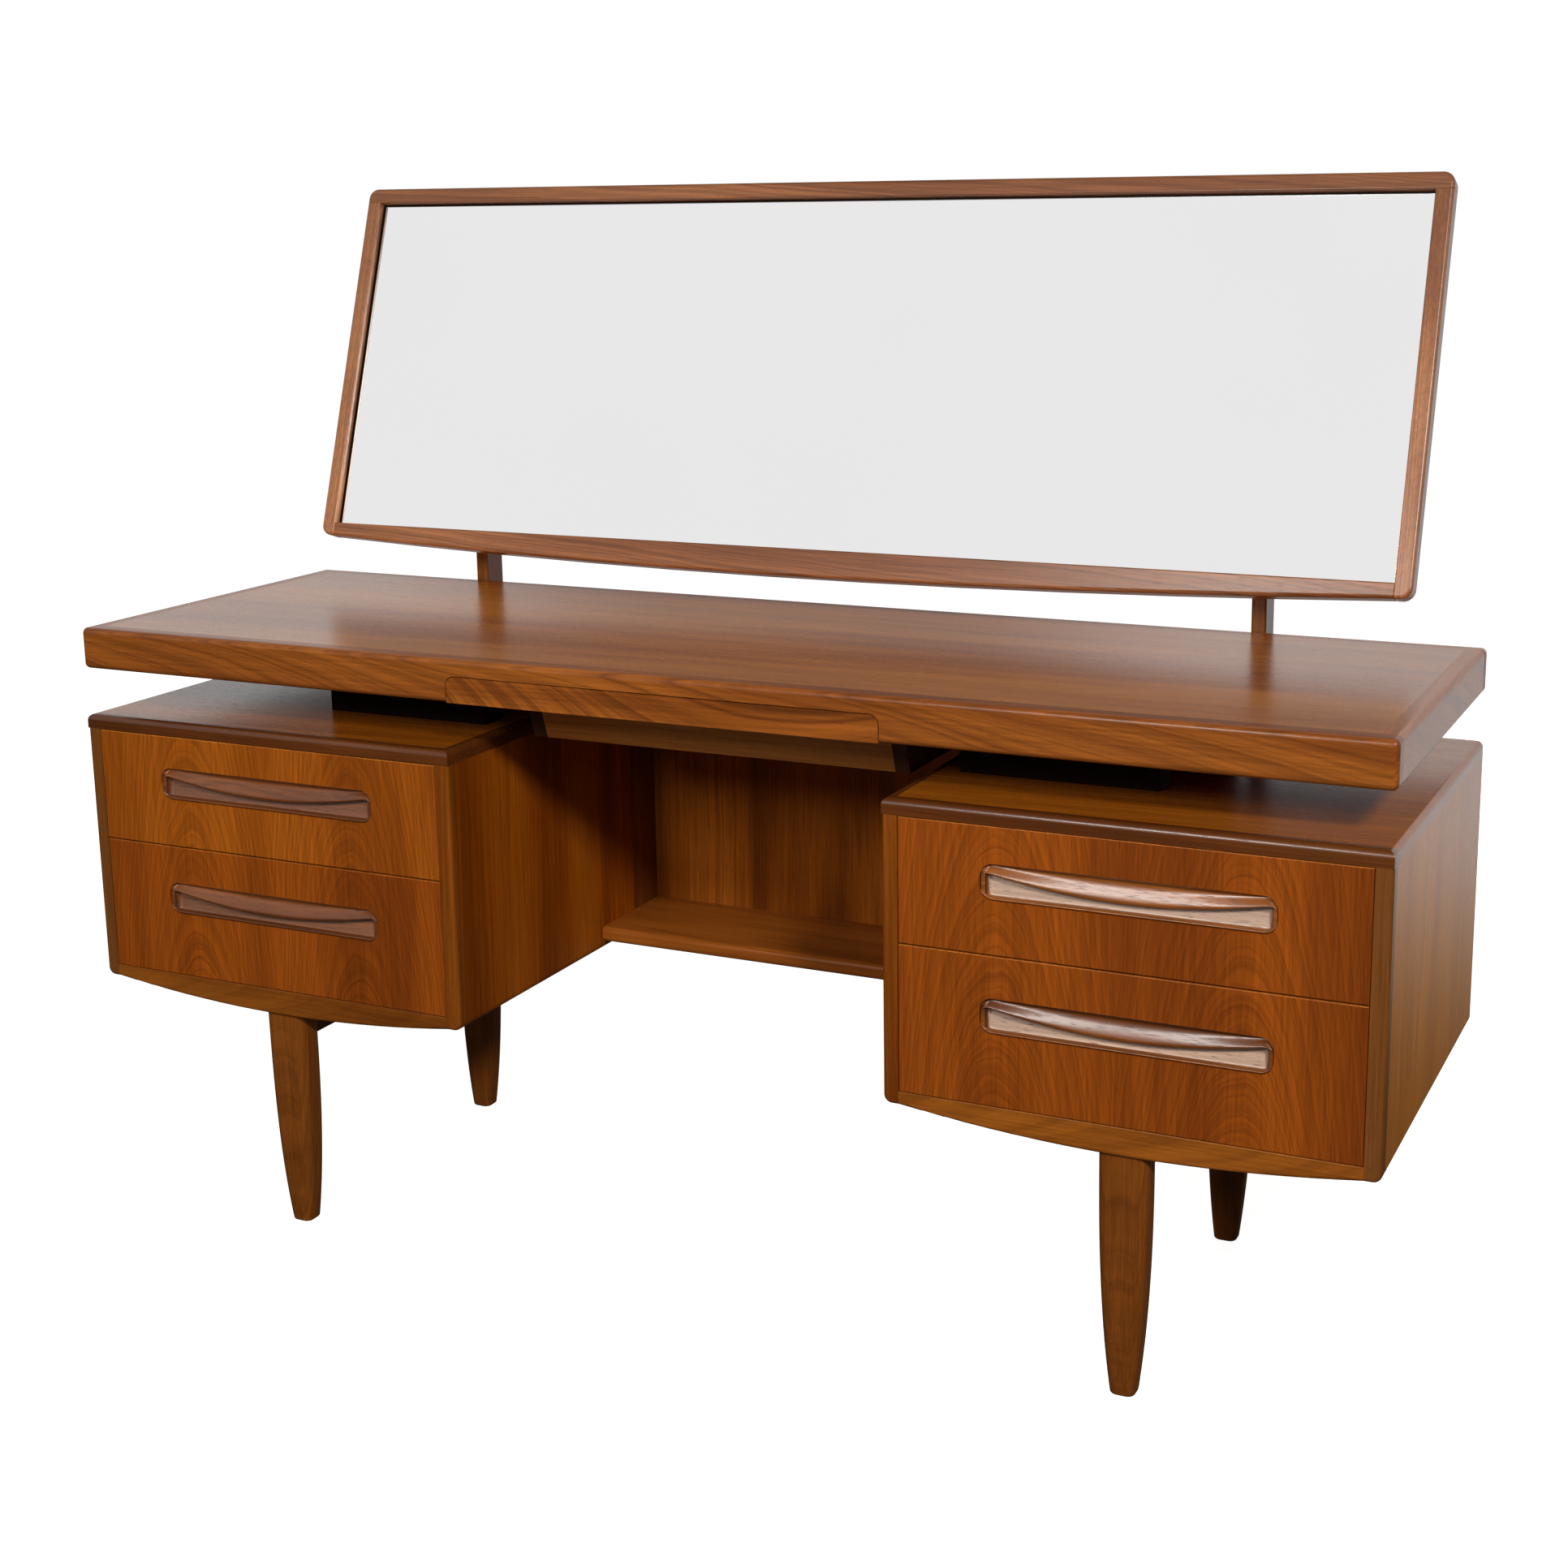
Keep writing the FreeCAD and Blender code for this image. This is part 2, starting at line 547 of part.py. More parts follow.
# ---------------------------------------------------------------- centre drawer
def makeCentreDrawer():
    """A shallow tray behind the front, and a deep well with a sloping face behind that."""
    front = newBody("centre_drawer_front")
    sketch = sketchOn(front, "XZ_Plane", "CentreFrontFace")
    half = "centre_half - centre_gap"
    outline(sketch, [("-(%s)" % half, topUnder), (half, topUnder),
                     (half, "%s - centre_gap" % boardUnder),
                     ("-(%s)" % half, "%s - centre_gap" % boardUnder)])
    pad(front, sketch, "CentreFrontDepth", "centre_front", backwards=True)
    roundOver(front, "CentreFrontCorners", "centre_round",
              lambda p, d: near(abs(d.y), 1) and near(p.z, number(boardUnder + " - centre_gap")))
    place(front)
    keep(front, "centre_drawer_front")

    tongueLow = "tongue_height - groove_high / 2"
    tongueHigh = "tongue_height + groove_high / 2"
    made = []
    for side in sides:
        name = "centre_drawer_%s_side" % side
        plank = newBody(name + "_plank")
        sketch = sketchOn(plank, "YZ_Plane", name + "_face")
        outline(sketch, [("centre_front", "tray_floor"), ("well_top + well_board", "tray_floor"),
                         ("well_top + well_slope + well_board", "well_floor"),
                         ("centre_deep", "well_floor"), ("centre_deep", "centre_rim"),
                         ("centre_front", "centre_rim")])
        pad(plank, sketch, name + "_thickness", "side_board")
        lowX, highX = across(side, "centre_side - side_board", "centre_side")
        place(plank, lowX)
        slotX = ("centre_side - groove_deep", "centre_side + 1")
        slotLow, slotHigh = across(side, slotX[0], slotX[1])
        slot = box(name + "_slot", (slotLow, "well_top + well_board", tongueLow),
                   (slotHigh, "centre_deep + 1", tongueHigh))
        grooved = doc.addObject("Part::Cut", name)
        grooved.Base, grooved.Tool = plank, slot
        made.append(grooved)
    group("centre_drawer_sides", made)

    inside = "centre_side - side_board"
    bottoms = [
        box("centre_tray_bottom", ("-(%s)" % inside, "centre_front", "tray_floor"),
            (inside, "well_top + well_board", "tray_floor + drawer_ply")),
        box("centre_well_bottom", ("-(%s)" % inside, "well_top + well_slope + well_board", "well_floor"),
            (inside, "centre_deep", "well_floor + drawer_ply"))]
    group("centre_drawer_bottoms", bottoms)

    face = newBody("centre_drawer_well_front")
    sketch = sketchOn(face, "YZ_Plane", "WellFrontSection")
    outline(sketch, [("well_top", "tray_floor"), ("well_top + well_slope", "well_floor"),
                     ("well_top + well_slope + well_board", "well_floor"),
                     ("well_top + well_board", "tray_floor")])
    pad(face, sketch, "WellFrontWidth", "2 * centre_side")
    place(face, "-centre_side")
    keep(face, "centre_drawer_well_front")

    board("centre_drawer_back", ("-(%s)" % inside, "centre_deep - drawer_back", "well_floor + drawer_ply"),
          (inside, "centre_deep", "centre_rim - 5"))


def makeCentreGuides():
    """Two hangers under the top, each with a tongue in a drawer side's groove."""
    made = []
    for side in sides:
        name = "centre_%s_guide" % side
        hanger = newBody(name + "_hanger")
        sketch = sketchOn(hanger, "YZ_Plane", name + "_face")
        outline(sketch, [("well_top", "tray_floor"), ("well_top + well_slope", "well_floor"),
                         ("guide_end", "well_floor"), ("guide_end", boardUnder),
                         ("well_top", boardUnder)])
        pad(hanger, sketch, name + "_thickness", "guide_wide")
        lowX, highX = across(side, "guide_inner", "guide_inner + guide_wide")
        place(hanger, lowX)
        lowX, highX = across(side, "guide_inner - tongue_proud", "guide_inner")
        tongue = box(name + "_tongue", (lowX, "well_top + well_board + 4", "tongue_height - runner_high / 2"),
                     (highX, "guide_end", "tongue_height + runner_high / 2"))
        whole = doc.addObject("Part::Fuse", name)
        whole.Base, whole.Tool = hanger, tongue
        made.append(whole)
    group("centre_drawer_guides", made)


# ---------------------------------------------------------------- kneehole
def makeKneehole():
    """A low shelf at the back, and a thin panel that closes the space behind the knees."""
    shelf = newBody("kneehole_shelf")
    sketch = sketchOn(shelf, "YZ_Plane", "ShelfSection")
    outline(sketch, [("shelf_front", "shelf_height - shelf_board"),
                     ("knee_back_front", "shelf_height - shelf_board"),
                     ("knee_back_front", "shelf_height"), ("shelf_front", "shelf_height")])
    pad(shelf, sketch, "ShelfWidth", "2 * %s" % pedestalInner)
    roundOver(shelf, "ShelfNose", "arris",
              lambda p, d: near(p.y, number("shelf_front")) and near(abs(d.x), 1))
    place(shelf, "-%s" % pedestalInner)
    keep(shelf, "kneehole_shelf")
    board("kneehole_back", ("-%s" % pedestalInner, "knee_back_front", "shelf_height - shelf_board"),
          (pedestalInner, "knee_back_front + back_board", topUnder))


# ---------------------------------------------------------------- legs
def makeLeg(name, side, where, lean):
    """A leg that tapers in a long curve to its foot, with soft corners.

    At a share t of its height below its top the leg is leg_wide less the taper times
    t to the power 2.6, and its depth falls off later, with the power 4.5. The front legs
    meet the bowed rail from below and reach up behind it with a tenon.
    """
    front = where == "leg_front"
    top = "(pedestal_base - rail_bow)" if front else "pedestal_base"
    leg = newBody(name)
    sketches = []
    for i, share in enumerate((0.0, 0.2, 0.38, 0.55, 0.72, 0.87, 1.0)):
        wide = "(leg_wide - (leg_wide - leg_foot) * %r)" % share ** 2.6
        deep = "(leg_deep - (leg_deep - leg_foot) * %r)" % share ** 4.5
        centre = "(%s * leg_lean * %r)" % (lean, share)
        sketch = sketchOn(leg, "XY_Plane", "%s_section_%d" % (name, i),
                          lift="%s * %r" % (top, 1 - share))
        roundedRectangle(sketch, ("-%s / 2" % wide, "%s - %s / 2" % (centre, deep)),
                         ("%s / 2" % wide, "%s + %s / 2" % (centre, deep)),
                         "%s * leg_round" % deep)
        sketches.append(sketch)
    loft = leg.newObject("PartDesign::AdditiveLoft", "%s_taper" % name)
    loft.Profile = sketches[0]
    loft.Sections = sketches[1:]
    doc.recompute()
    roundOver(leg, "%s_foot" % name, "foot_arris", lambda p, d: near(p.z, 0))
    if front:
        tenon = sketchOn(leg, "XY_Plane", "%s_tenon_outline" % name, lift=top)
        outline(tenon, [("-tenon_wide / 2", "rail_deep - leg_front"),
                        ("tenon_wide / 2", "rail_deep - leg_front"),
                        ("tenon_wide / 2", "leg_deep / 2"), ("-tenon_wide / 2", "leg_deep / 2")])
        pad(leg, tenon, "%s_tenon" % name, "rail_bow")
    place(leg, "%s * leg_x" % sign(side), where)
    keep(leg, name)


def makeLegs():
    """Four legs, and a rail from front to back between each pair."""
    rails = []
    for side in sides:
        makeLeg("front_%s_leg" % side, side, "leg_front", "1")
        makeLeg("rear_%s_leg" % side, side, "leg_rear", "-1")
        lowX, highX = across(side, "leg_x - leg_rail / 2", "leg_x + leg_rail / 2")
        rails.append(box("%s_leg_rail" % side, (lowX, "leg_front + leg_deep / 2 + 0.5", "leg_rail_low"),
                         (highX, "leg_rear - leg_deep / 2 - 0.6", "pedestal_base")))
    group("leg_rails", rails)


# ---------------------------------------------------------------- mirror
def makeMirrorFrame():
    """Four thin rails, drawn upright about the pivot and then leant back with it."""
    inner = "(mirror_half - mirror_rail)"
    depth = "mirror_back - mirror_front"

    def finish(body, name):
        tiltedPlace(body)
        keep(body, name)

    rebateOuter = "%s + rebate_wide" % inner
    top = newBody("mirror_top_rail")
    sketch = sketchOn(top, "XZ_Plane", "MirrorTopFace", lift="-mirror_front")
    outline(sketch, [("-mirror_half", "mirror_top - mirror_rail"),
                     ("mirror_half", "mirror_top - mirror_rail"),
                     ("mirror_half", "mirror_top"), ("-mirror_half", "mirror_top")])
    pad(top, sketch, "MirrorTopDepth", depth, backwards=True)
    rebate = sketchOn(top, "XZ_Plane", "MirrorTopRebateFace", lift="-rebate_front")
    outline(rebate, [("-(%s)" % rebateOuter, "mirror_top - mirror_rail - 1"),
                     (rebateOuter, "mirror_top - mirror_rail - 1"),
                     (rebateOuter, "mirror_top - mirror_rail + rebate_wide"),
                     ("-(%s)" % rebateOuter, "mirror_top - mirror_rail + rebate_wide")])
    pocket(top, rebate, "MirrorTopRebate", "mirror_back - rebate_front")
    roundOver(top, "MirrorTopCorners", "mirror_round",
              lambda p, d: near(abs(d.y), 1) and near(p.z, number("mirror_top")))
    face, lower = number("mirror_front"), number("mirror_top - mirror_rail")
    roundOver(top, "MirrorTopArris", "frame_arris",
              lambda p, d: near(p.y, face) and not near(p.z, lower))
    roundOver(top, "MirrorTopInnerArris", "glass_arris",
              lambda p, d: near(p.y, face) and near(p.z, lower))
    finish(top, "mirror_top_rail")

    stiles = []
    for side in sides:
        stile = newBody("mirror_%s_rail" % side)
        sketch = sketchOn(stile, "XZ_Plane", "Mirror%sFace" % side, lift="-mirror_front")
        lowX, highX = across(side, inner, "mirror_half")
        outline(sketch, [(lowX, "mirror_foot"), (highX, "mirror_foot"),
                         (highX, "mirror_top - mirror_rail"), (lowX, "mirror_top - mirror_rail")])
        pad(stile, sketch, "Mirror%sDepth" % side, depth, backwards=True)
        rebate = sketchOn(stile, "XZ_Plane", "Mirror%sRebateFace" % side, lift="-rebate_front")
        lowX, highX = across(side, "%s - 1" % inner, rebateOuter)
        outline(rebate, [(lowX, "glass_low - rebate_wide"), (highX, "glass_low - rebate_wide"),
                         (highX, "mirror_top - mirror_rail + 1"), (lowX, "mirror_top - mirror_rail + 1")])
        pocket(stile, rebate, "Mirror%sRebate" % side, "mirror_back - rebate_front")
        roundOver(stile, "Mirror%sCorner" % side, "mirror_round",
                  lambda p, d: near(abs(d.y), 1) and near(abs(p.x), number("mirror_half"))
                  and near(p.z, number("mirror_foot")))
        roundOver(stile, "Mirror%sArris" % side, "frame_arris",
                  lambda p, d: near(p.y, face) and not near(abs(p.x), number(inner))
                  and not near(p.z, lower))
        roundOver(stile, "Mirror%sInnerArris" % side, "glass_arris",
                  lambda p, d: near(p.y, face) and near(abs(p.x), number(inner)))
        tiltedPlace(stile)
        stiles.append(stile)
    group("mirror_side_rails", stiles)

    bottom = newBody("mirror_bottom_rail")
    sketch = sketchOn(bottom, "XZ_Plane", "MirrorBottomFace", lift="-mirror_front")
    outline(sketch, [("-%s" % inner, "mirror_foot"), (inner, "mirror_foot"),
                     (inner, "glass_low"), ("-%s" % inner, "glass_low")],
            bows={0: "mirror_bow"})
    pad(bottom, sketch, "MirrorBottomDepth", depth, backwards=True)
    rebate = sketchOn(bottom, "XZ_Plane", "MirrorBottomRebateFace", lift="-rebate_front")
    outline(rebate, [("-%s - 1" % inner, "glass_low - rebate_wide"),
                     ("%s + 1" % inner, "glass_low - rebate_wide"),
                     ("%s + 1" % inner, "glass_low + 1"), ("-%s - 1" % inner, "glass_low + 1")])
    pocket(bottom, rebate, "MirrorBottomRebate", "mirror_back - rebate_front")
    roundOver(bottom, "MirrorBottomArris", "frame_arris",
              lambda p, d: near(p.y, face) and p.z < number("mirror_foot"))
    roundOver(bottom, "MirrorBottomInnerArris", "glass_arris",
              lambda p, d: near(p.y, face) and near(p.z, number("glass_low")))
    finish(bottom, "mirror_bottom_rail")


def makeMirrorGlass():
    """The glass and its backing sit in the rebate, and two cleats cross the back."""
    half = "(mirror_half - mirror_rail + rebate_wide - 0.5)"
    low = "glass_low - rebate_wide + 0.5"
    high = "mirror_top - mirror_rail + rebate_wide - 0.5"
    glassBack = "rebate_front + glass_thick"
    board("mirror_glass", ("-" + half, "rebate_front", low), (half, glassBack, high), tilted=True)
    board("mirror_backboard", ("-" + half, glassBack, low),
          (half, glassBack + " + mirror_ply", high), tilted=True)
    cleats = []
    for side in sides:
        lowX, highX = across(side, "post_x - cleat_wide / 2", "post_x + cleat_wide / 2")
        cleats.append(box("%s_cleat" % side, (lowX, glassBack + " + mirror_ply", low),
                          (highX, "mirror_back", high), tilted=True))
    group("mirror_cleats", cleats)


# ---------------------------------------------------------------- posts and pivots
def circleSketch(body, role, name, circles, lift="0"):
    """A sketch of circles, each given by its centre and radius."""
    sketch = sketchOn(body, role, name, lift)
    for i, (u, v, radius) in enumerate(circles):
        centre = V(number(u), number(v), 0)
        sketch.addGeometry(Part.Circle(centre, V(0, 0, 1), number(radius)), False)
        index = sketch.addConstraint(Sketcher.Constraint("Radius", i, number(radius)))
        bind(sketch, "Constraints[%d]" % index, radius)
        pin(sketch, i, 3, u, v)
    return sketch


def makePost(side):
    """A post up the back of the table, with a round head about the pivot."""
    name = "%s_mirror_post" % side
    post = newBody(name)
    sketch = sketchOn(post, "YZ_Plane", name + "_side")
    outline(sketch, [("-post_deep / 2", "post_low"), ("post_deep / 2", "post_low"),
                     ("post_deep / 2", "pivot_height"), ("-post_deep / 2", "pivot_height")])
    pad(post, sketch, name + "_width", "post_wide")
    head = circleSketch(post, "YZ_Plane", name + "_head", [("0", "pivot_height", "post_deep / 2")])
    pad(post, head, name + "_head_width", "post_wide")
    roundOver(post, name + "_arris", "post_arris",
              lambda p, d: near(abs(d.x), 0) and (near(p.x, 0) or near(p.x, number("post_wide")))
              and not near(p.z, number("post_low")))
    bore = circleSketch(post, "YZ_Plane", name + "_pivot_hole", [("0", "pivot_height", "bolt_radius")])
    pocket(post, bore, name + "_pivot_bore", "post_wide", backwards=True)
    holes = [("post_wide / 2", level, "screw_radius + 0.25") for level in ("screw_low", "screw_high")]
    screws = circleSketch(post, "XZ_Plane", name + "_screw_holes", holes, lift="-post_deep / 2")
    pocket(post, screws, name + "_screw_bores", "post_deep", backwards=True)
    lowX, highX = across(side, "post_x - post_wide / 2", "post_x + post_wide / 2")
    place(post, lowX, "post_front + post_deep / 2")
    keep(post, name)


def cylinder(name, radius, length, x, y, z, axis):
    """A round bar that starts at a point and runs along X or Y."""
    bar = doc.addObject("Part::Cylinder", name)
    bind(bar, "Radius", radius)
    bind(bar, "Height", length)
    turn = FreeCAD.Rotation(V(0, 1, 0), 90) if axis == "X" else FreeCAD.Rotation(V(1, 0, 0), -90)
    bar.Placement = FreeCAD.Placement(V(0, 0, 0), turn)
    place(bar, x, y, z)
    return bar


def fuse(name, pieces):
    """One solid out of several that overlap."""
    whole = doc.addObject("Part::MultiFuse", name)
    whole.Shapes = pieces
    return whole


def makeScrews():
    """Two round-headed screws hold each post to the top and to the pedestal's lid."""
    made = []
    for side in sides:
        x = "%s * post_x" % sign(side)
        for level in ("screw_low", "screw_high"):
            name = "%s_post_%s" % (side, level)
            shank = cylinder(name + "_shank", "screw_radius", "post_deep", x, "post_front", level, "Y")
            head = cylinder(name + "_head", "screw_head", "screw_radius", x, "post_front + post_deep",
                            level, "Y")
            made.append(fuse(name, [shank, head]))
    group("post_screws", made)


def makeBrackets():
    """A steel bracket on each cleat, with an ear on both sides of the post."""
    made = []
    for side in sides:
        name = "%s_bracket" % side
        cheek = "(post_wide / 2 + ear_gap)"
        centre = "%s * post_x" % sign(side)
        plate = box(name + "_plate",
                    ("%s - %s - bracket_sheet" % (centre, cheek), "mirror_back", "-bracket_tall / 2"),
                    ("%s + %s + bracket_sheet" % (centre, cheek), "mirror_back + bracket_sheet",
                     "bracket_tall / 2"), tilted=True)
        ears = []
        for where, start in (("low", "%s - %s - bracket_sheet" % (centre, cheek)),
                             ("high", "%s + %s" % (centre, cheek))):
            web = box("%s_%s_web" % (name, where), (start, "mirror_back", "-ear_round"),
                      (start + " + bracket_sheet", "0", "ear_round"), tilted=True)
            nose = cylinder("%s_%s_nose" % (name, where), "ear_round", "bracket_sheet",
                            start, "pivot_y", "pivot_height", "X")
            ears += [web, nose]
        solid = fuse(name + "_blank", [plate] + ears)
        bore = cylinder(name + "_bore", "bolt_radius + pin_gap", "2 * (%s + bracket_sheet + 1)" % cheek,
                        "%s - %s - bracket_sheet - 1" % (centre, cheek), "pivot_y", "pivot_height", "X")
        finished = doc.addObject("Part::Cut", name)
        finished.Base, finished.Tool = solid, bore
        made.append(finished)
    group("mirror_brackets", made)


def makePivotBolts():
    """A bolt through each post, with a round head inside and a clamping knob outside."""
    made = []
    for side in sides:
        name = "%s_pivot_bolt" % side
        stack = "(post_wide / 2 + ear_gap + bracket_sheet + 0.3)"
        centre = "%s * post_x" % sign(side)
        shank = cylinder(name + "_shank", "bolt_radius", "2 * %s" % stack,
                         "%s - %s" % (centre, stack), "pivot_y", "pivot_height", "X")
        outside = "%s + %s" % (centre, stack)
        inside = "%s - %s - 4" % (centre, stack)
        if side == "left":
            outside = "%s - %s - knob_long" % (centre, stack)
            inside = "%s + %s" % (centre, stack)
        knob = cylinder(name + "_knob", "knob_radius", "knob_long", outside, "pivot_y",
                        "pivot_height", "X")
        head = cylinder(name + "_head", "2 * bolt_radius", "4", inside, "pivot_y",
                        "pivot_height", "X")
        made.append(fuse(name, [shank, knob, head]))
    group("mirror_pivot_bolts", made)


# ---------------------------------------------------------------- build, test and write
makeTop()
makeSpacers()
for side in sides:
    makePedestal(side)
makePedestalGroups()
for side in sides:
    for level in levels:
        makeDrawer(side, level)
makeCentreDrawer()
makeCentreGuides()
makeKneehole()
makeLegs()
makeMirrorFrame()
makeMirrorGlass()
for side in sides:
    makePost(side)
makeScrews()
makeBrackets()
makePivotBolts()
doc.recompute()

for thing in doc.Objects:
    if "Invalid" in thing.State or "Error" in thing.State:
        raise RuntimeError("%s failed: %s" % (thing.Name, thing.State))
for node in nodes:
    if node.Shape.isNull() or not node.Shape.isValid() or not node.Shape.Solids:
        raise RuntimeError("%s has no valid solid" % node.Label)

os.makedirs("parts", exist_ok=True)
for node in nodes:
    node.Shape.exportStep("parts/%s.step" % node.Label)

whole = FreeCAD.BoundBox()
for node in nodes:
    whole.add(node.Shape.BoundBox)
print("%d nodes" % len(nodes))
print("x %.2f to %.2f, y %.2f to %.2f, z %.2f to %.2f" % (
    whole.XMin, whole.XMax, whole.YMin, whole.YMax, whole.ZMin, whole.ZMax))
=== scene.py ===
import math

import bmesh
import bpy
import numpy as np
from mathutils import Matrix, Vector


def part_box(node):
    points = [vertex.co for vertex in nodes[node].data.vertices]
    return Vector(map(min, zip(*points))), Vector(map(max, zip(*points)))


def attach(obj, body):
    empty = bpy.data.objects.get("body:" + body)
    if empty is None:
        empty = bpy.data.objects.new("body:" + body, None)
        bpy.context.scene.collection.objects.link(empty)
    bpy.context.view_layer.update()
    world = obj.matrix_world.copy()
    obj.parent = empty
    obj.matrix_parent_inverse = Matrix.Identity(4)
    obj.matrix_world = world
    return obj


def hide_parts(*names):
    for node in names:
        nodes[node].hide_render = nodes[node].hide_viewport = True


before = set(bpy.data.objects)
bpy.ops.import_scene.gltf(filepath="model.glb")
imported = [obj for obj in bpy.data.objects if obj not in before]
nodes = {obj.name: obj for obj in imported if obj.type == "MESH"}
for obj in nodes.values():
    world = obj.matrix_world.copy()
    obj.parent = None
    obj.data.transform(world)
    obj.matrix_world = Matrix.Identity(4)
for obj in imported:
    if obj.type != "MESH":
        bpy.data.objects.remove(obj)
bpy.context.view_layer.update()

scene = bpy.context.scene
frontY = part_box("top_front_lipping")[0].y  # the plane of the top's front edge


cameraView = {
    "place": (1.14213, -2.01438, 1.17795),  # y is counted from the front edge
    "yaw": 25.379, "pitch": -12.256, "roll": -0.769,
    "sensor": 36, "lens": 52.766, "shift": (-0.0202, -0.0540),
}


# the camera's own ways ahead, right and up from its three angles: ahead from yaw and pitch, right
# across it and level, and both right and up turned about it by the roll
def setCamera(view):
    yaw, pitch, roll = (math.radians(view[k]) for k in ("yaw", "pitch", "roll"))
    ahead = Vector((-math.sin(yaw) * math.cos(pitch), math.cos(yaw) * math.cos(pitch), math.sin(pitch)))
    right = ahead.cross(Vector((0, 0, 1))).normalized()
    up = right.cross(ahead)
    right, up = (right * math.cos(roll) + up * math.sin(roll), up * math.cos(roll) - right * math.sin(roll))
    data = bpy.data.cameras.new("camera")
    data.sensor_width = view["sensor"]
    data.lens = view["lens"]
    data.shift_x, data.shift_y = view["shift"]
    camera = bpy.data.objects.new("camera", data)
    turn = Matrix((right, up, -ahead)).transposed().to_4x4()
    x, y, z = view["place"]
    camera.matrix_world = Matrix.Translation((x, y + frontY, z)) @ turn
    scene.collection.objects.link(camera)
    scene.camera = camera


setCamera(cameraView)
print("camera set")


# a node of the stated kind, with each input linked to a socket or set to a value
def node(tree, kind, inputs=None, **settings):
    made = tree.nodes.new(kind)
    for key, value in settings.items():
        setattr(made, key, value)
    for key, value in (inputs or {}).items():
        if isinstance(value, bpy.types.NodeSocket):
            tree.links.new(value, made.inputs[key])
        else:
            made.inputs[key].default_value = value
    return made


def calc(tree, operation, *values):
    made = node(tree, "ShaderNodeMath", dict(enumerate(values)), operation=operation)
    return made.outputs[0]


def vector(tree, x, y, z):
    return node(tree, "ShaderNodeCombineXYZ", {0: x, 1: y, 2: z}).outputs[0]


def noise(tree, place, scale, detail=2.0, roughness=0.5, distortion=0.0):
    made = node(tree, "ShaderNodeTexNoise", {"Vector": place, "Scale": scale, "Detail": detail,
                                             "Roughness": roughness, "Distortion": distortion})
    return made.outputs["Fac"]


def noiseLine(tree, value, scale, detail=2.0, roughness=0.5):
    made = node(tree, "ShaderNodeTexNoise", {"W": value, "Scale": scale, "Detail": detail,
                                             "Roughness": roughness}, noise_dimensions="1D")
    return made.outputs["Fac"]


# a smooth step from one value to another as the input goes from low to high
def spread(tree, value, low, high, toLow=0.0, toHigh=1.0):
    made = node(tree, "ShaderNodeMapRange", {0: value, 1: low, 2: high, 3: toLow, 4: toHigh},
                interpolation_type="SMOOTHSTEP")
    return made.outputs[0]


def blendColour(tree, share, a, b, mode="MIX"):
    made = node(tree, "ShaderNodeMix", {0: share, 6: a, 7: b}, data_type="RGBA", blend_type=mode)
    return made.outputs[2]


# colour values of 0 to 255 as linear shares: (value + 0.055) / 1.055 to the power 2.4, or the
# value over 12.92 near black
def linear(red, green, blue):
    def one(value):
        value /= 255
        return value / 12.92 if value <= 0.04045 else ((value + 0.055) / 1.055) ** 2.4
    return (one(red), one(green), one(blue), 1.0)


# the same colour at a share of its brightness
def shaded(colour, share):
    return tuple(share * c for c in colour[:3]) + (1,)


# noise of 0 to 1 as a swing either side of a middle: twice the reach times the noise, plus the
# middle, less the reach
def swing(tree, value, reach, middle=0.0):
    return calc(tree, "MULTIPLY_ADD", value, 2 * reach, middle - reach)


# from a to b by a share: the share times their difference, plus a
def between(tree, share, a, b):
    return calc(tree, "MULTIPLY_ADD", share, calc(tree, "SUBTRACT", b, a), a)


# a new material, its emptied tree, and a point's own place on the piece
def startMaterial(name):
    material = bpy.data.materials.new(name)
    material.use_nodes = True
    tree = material.node_tree
    tree.nodes.clear()
    return material, tree, node(tree, "ShaderNodeTexCoord").outputs["Object"]


# the shader joined to the material's output
def finishMaterial(material, shader):
    tree = material.node_tree
    out = node(tree, "ShaderNodeOutputMaterial")
    tree.links.new(shader.outputs[0], out.inputs[0])
    return material


# what every board starts from; a board's own values are given where it is dressed
woodLook = {
    "light": (180, 98, 30), "mid": (156, 76, 17), "dark": (98, 42, 9),
    "ring": 0.005,  # distance between year rings as they show on the face
    "figure": 0.55,  # how strongly the rings show
    "streak": 0.5,  # how strongly broad bands of colour show
    "pores": 0.5, "rough": 0.30, "gloss": 0.22, "sheen": 0.10, "bump": 0.10,
    "slope": 0.0, "bend": 0.0, "depth": 0.05, "lean": 0.8, "crown": 0.0, "fold": None, "foot": 0.0,
    "flare": None,  # where given, rings crowd together this far from the crown and beyond
    # edge bands carry the solid edges' own tone, and on some boards painted shade, a painted highlight or a
    # painted reflection
    "bands": (), "bandShade": (0.7, 0.65, 0.66), "paintedReflectionTint": None,
    "well": None,  # where given: middle of the well in x, half its length, and the depth it starts at
    "seed": 0.0, "wander": 0.010,
}

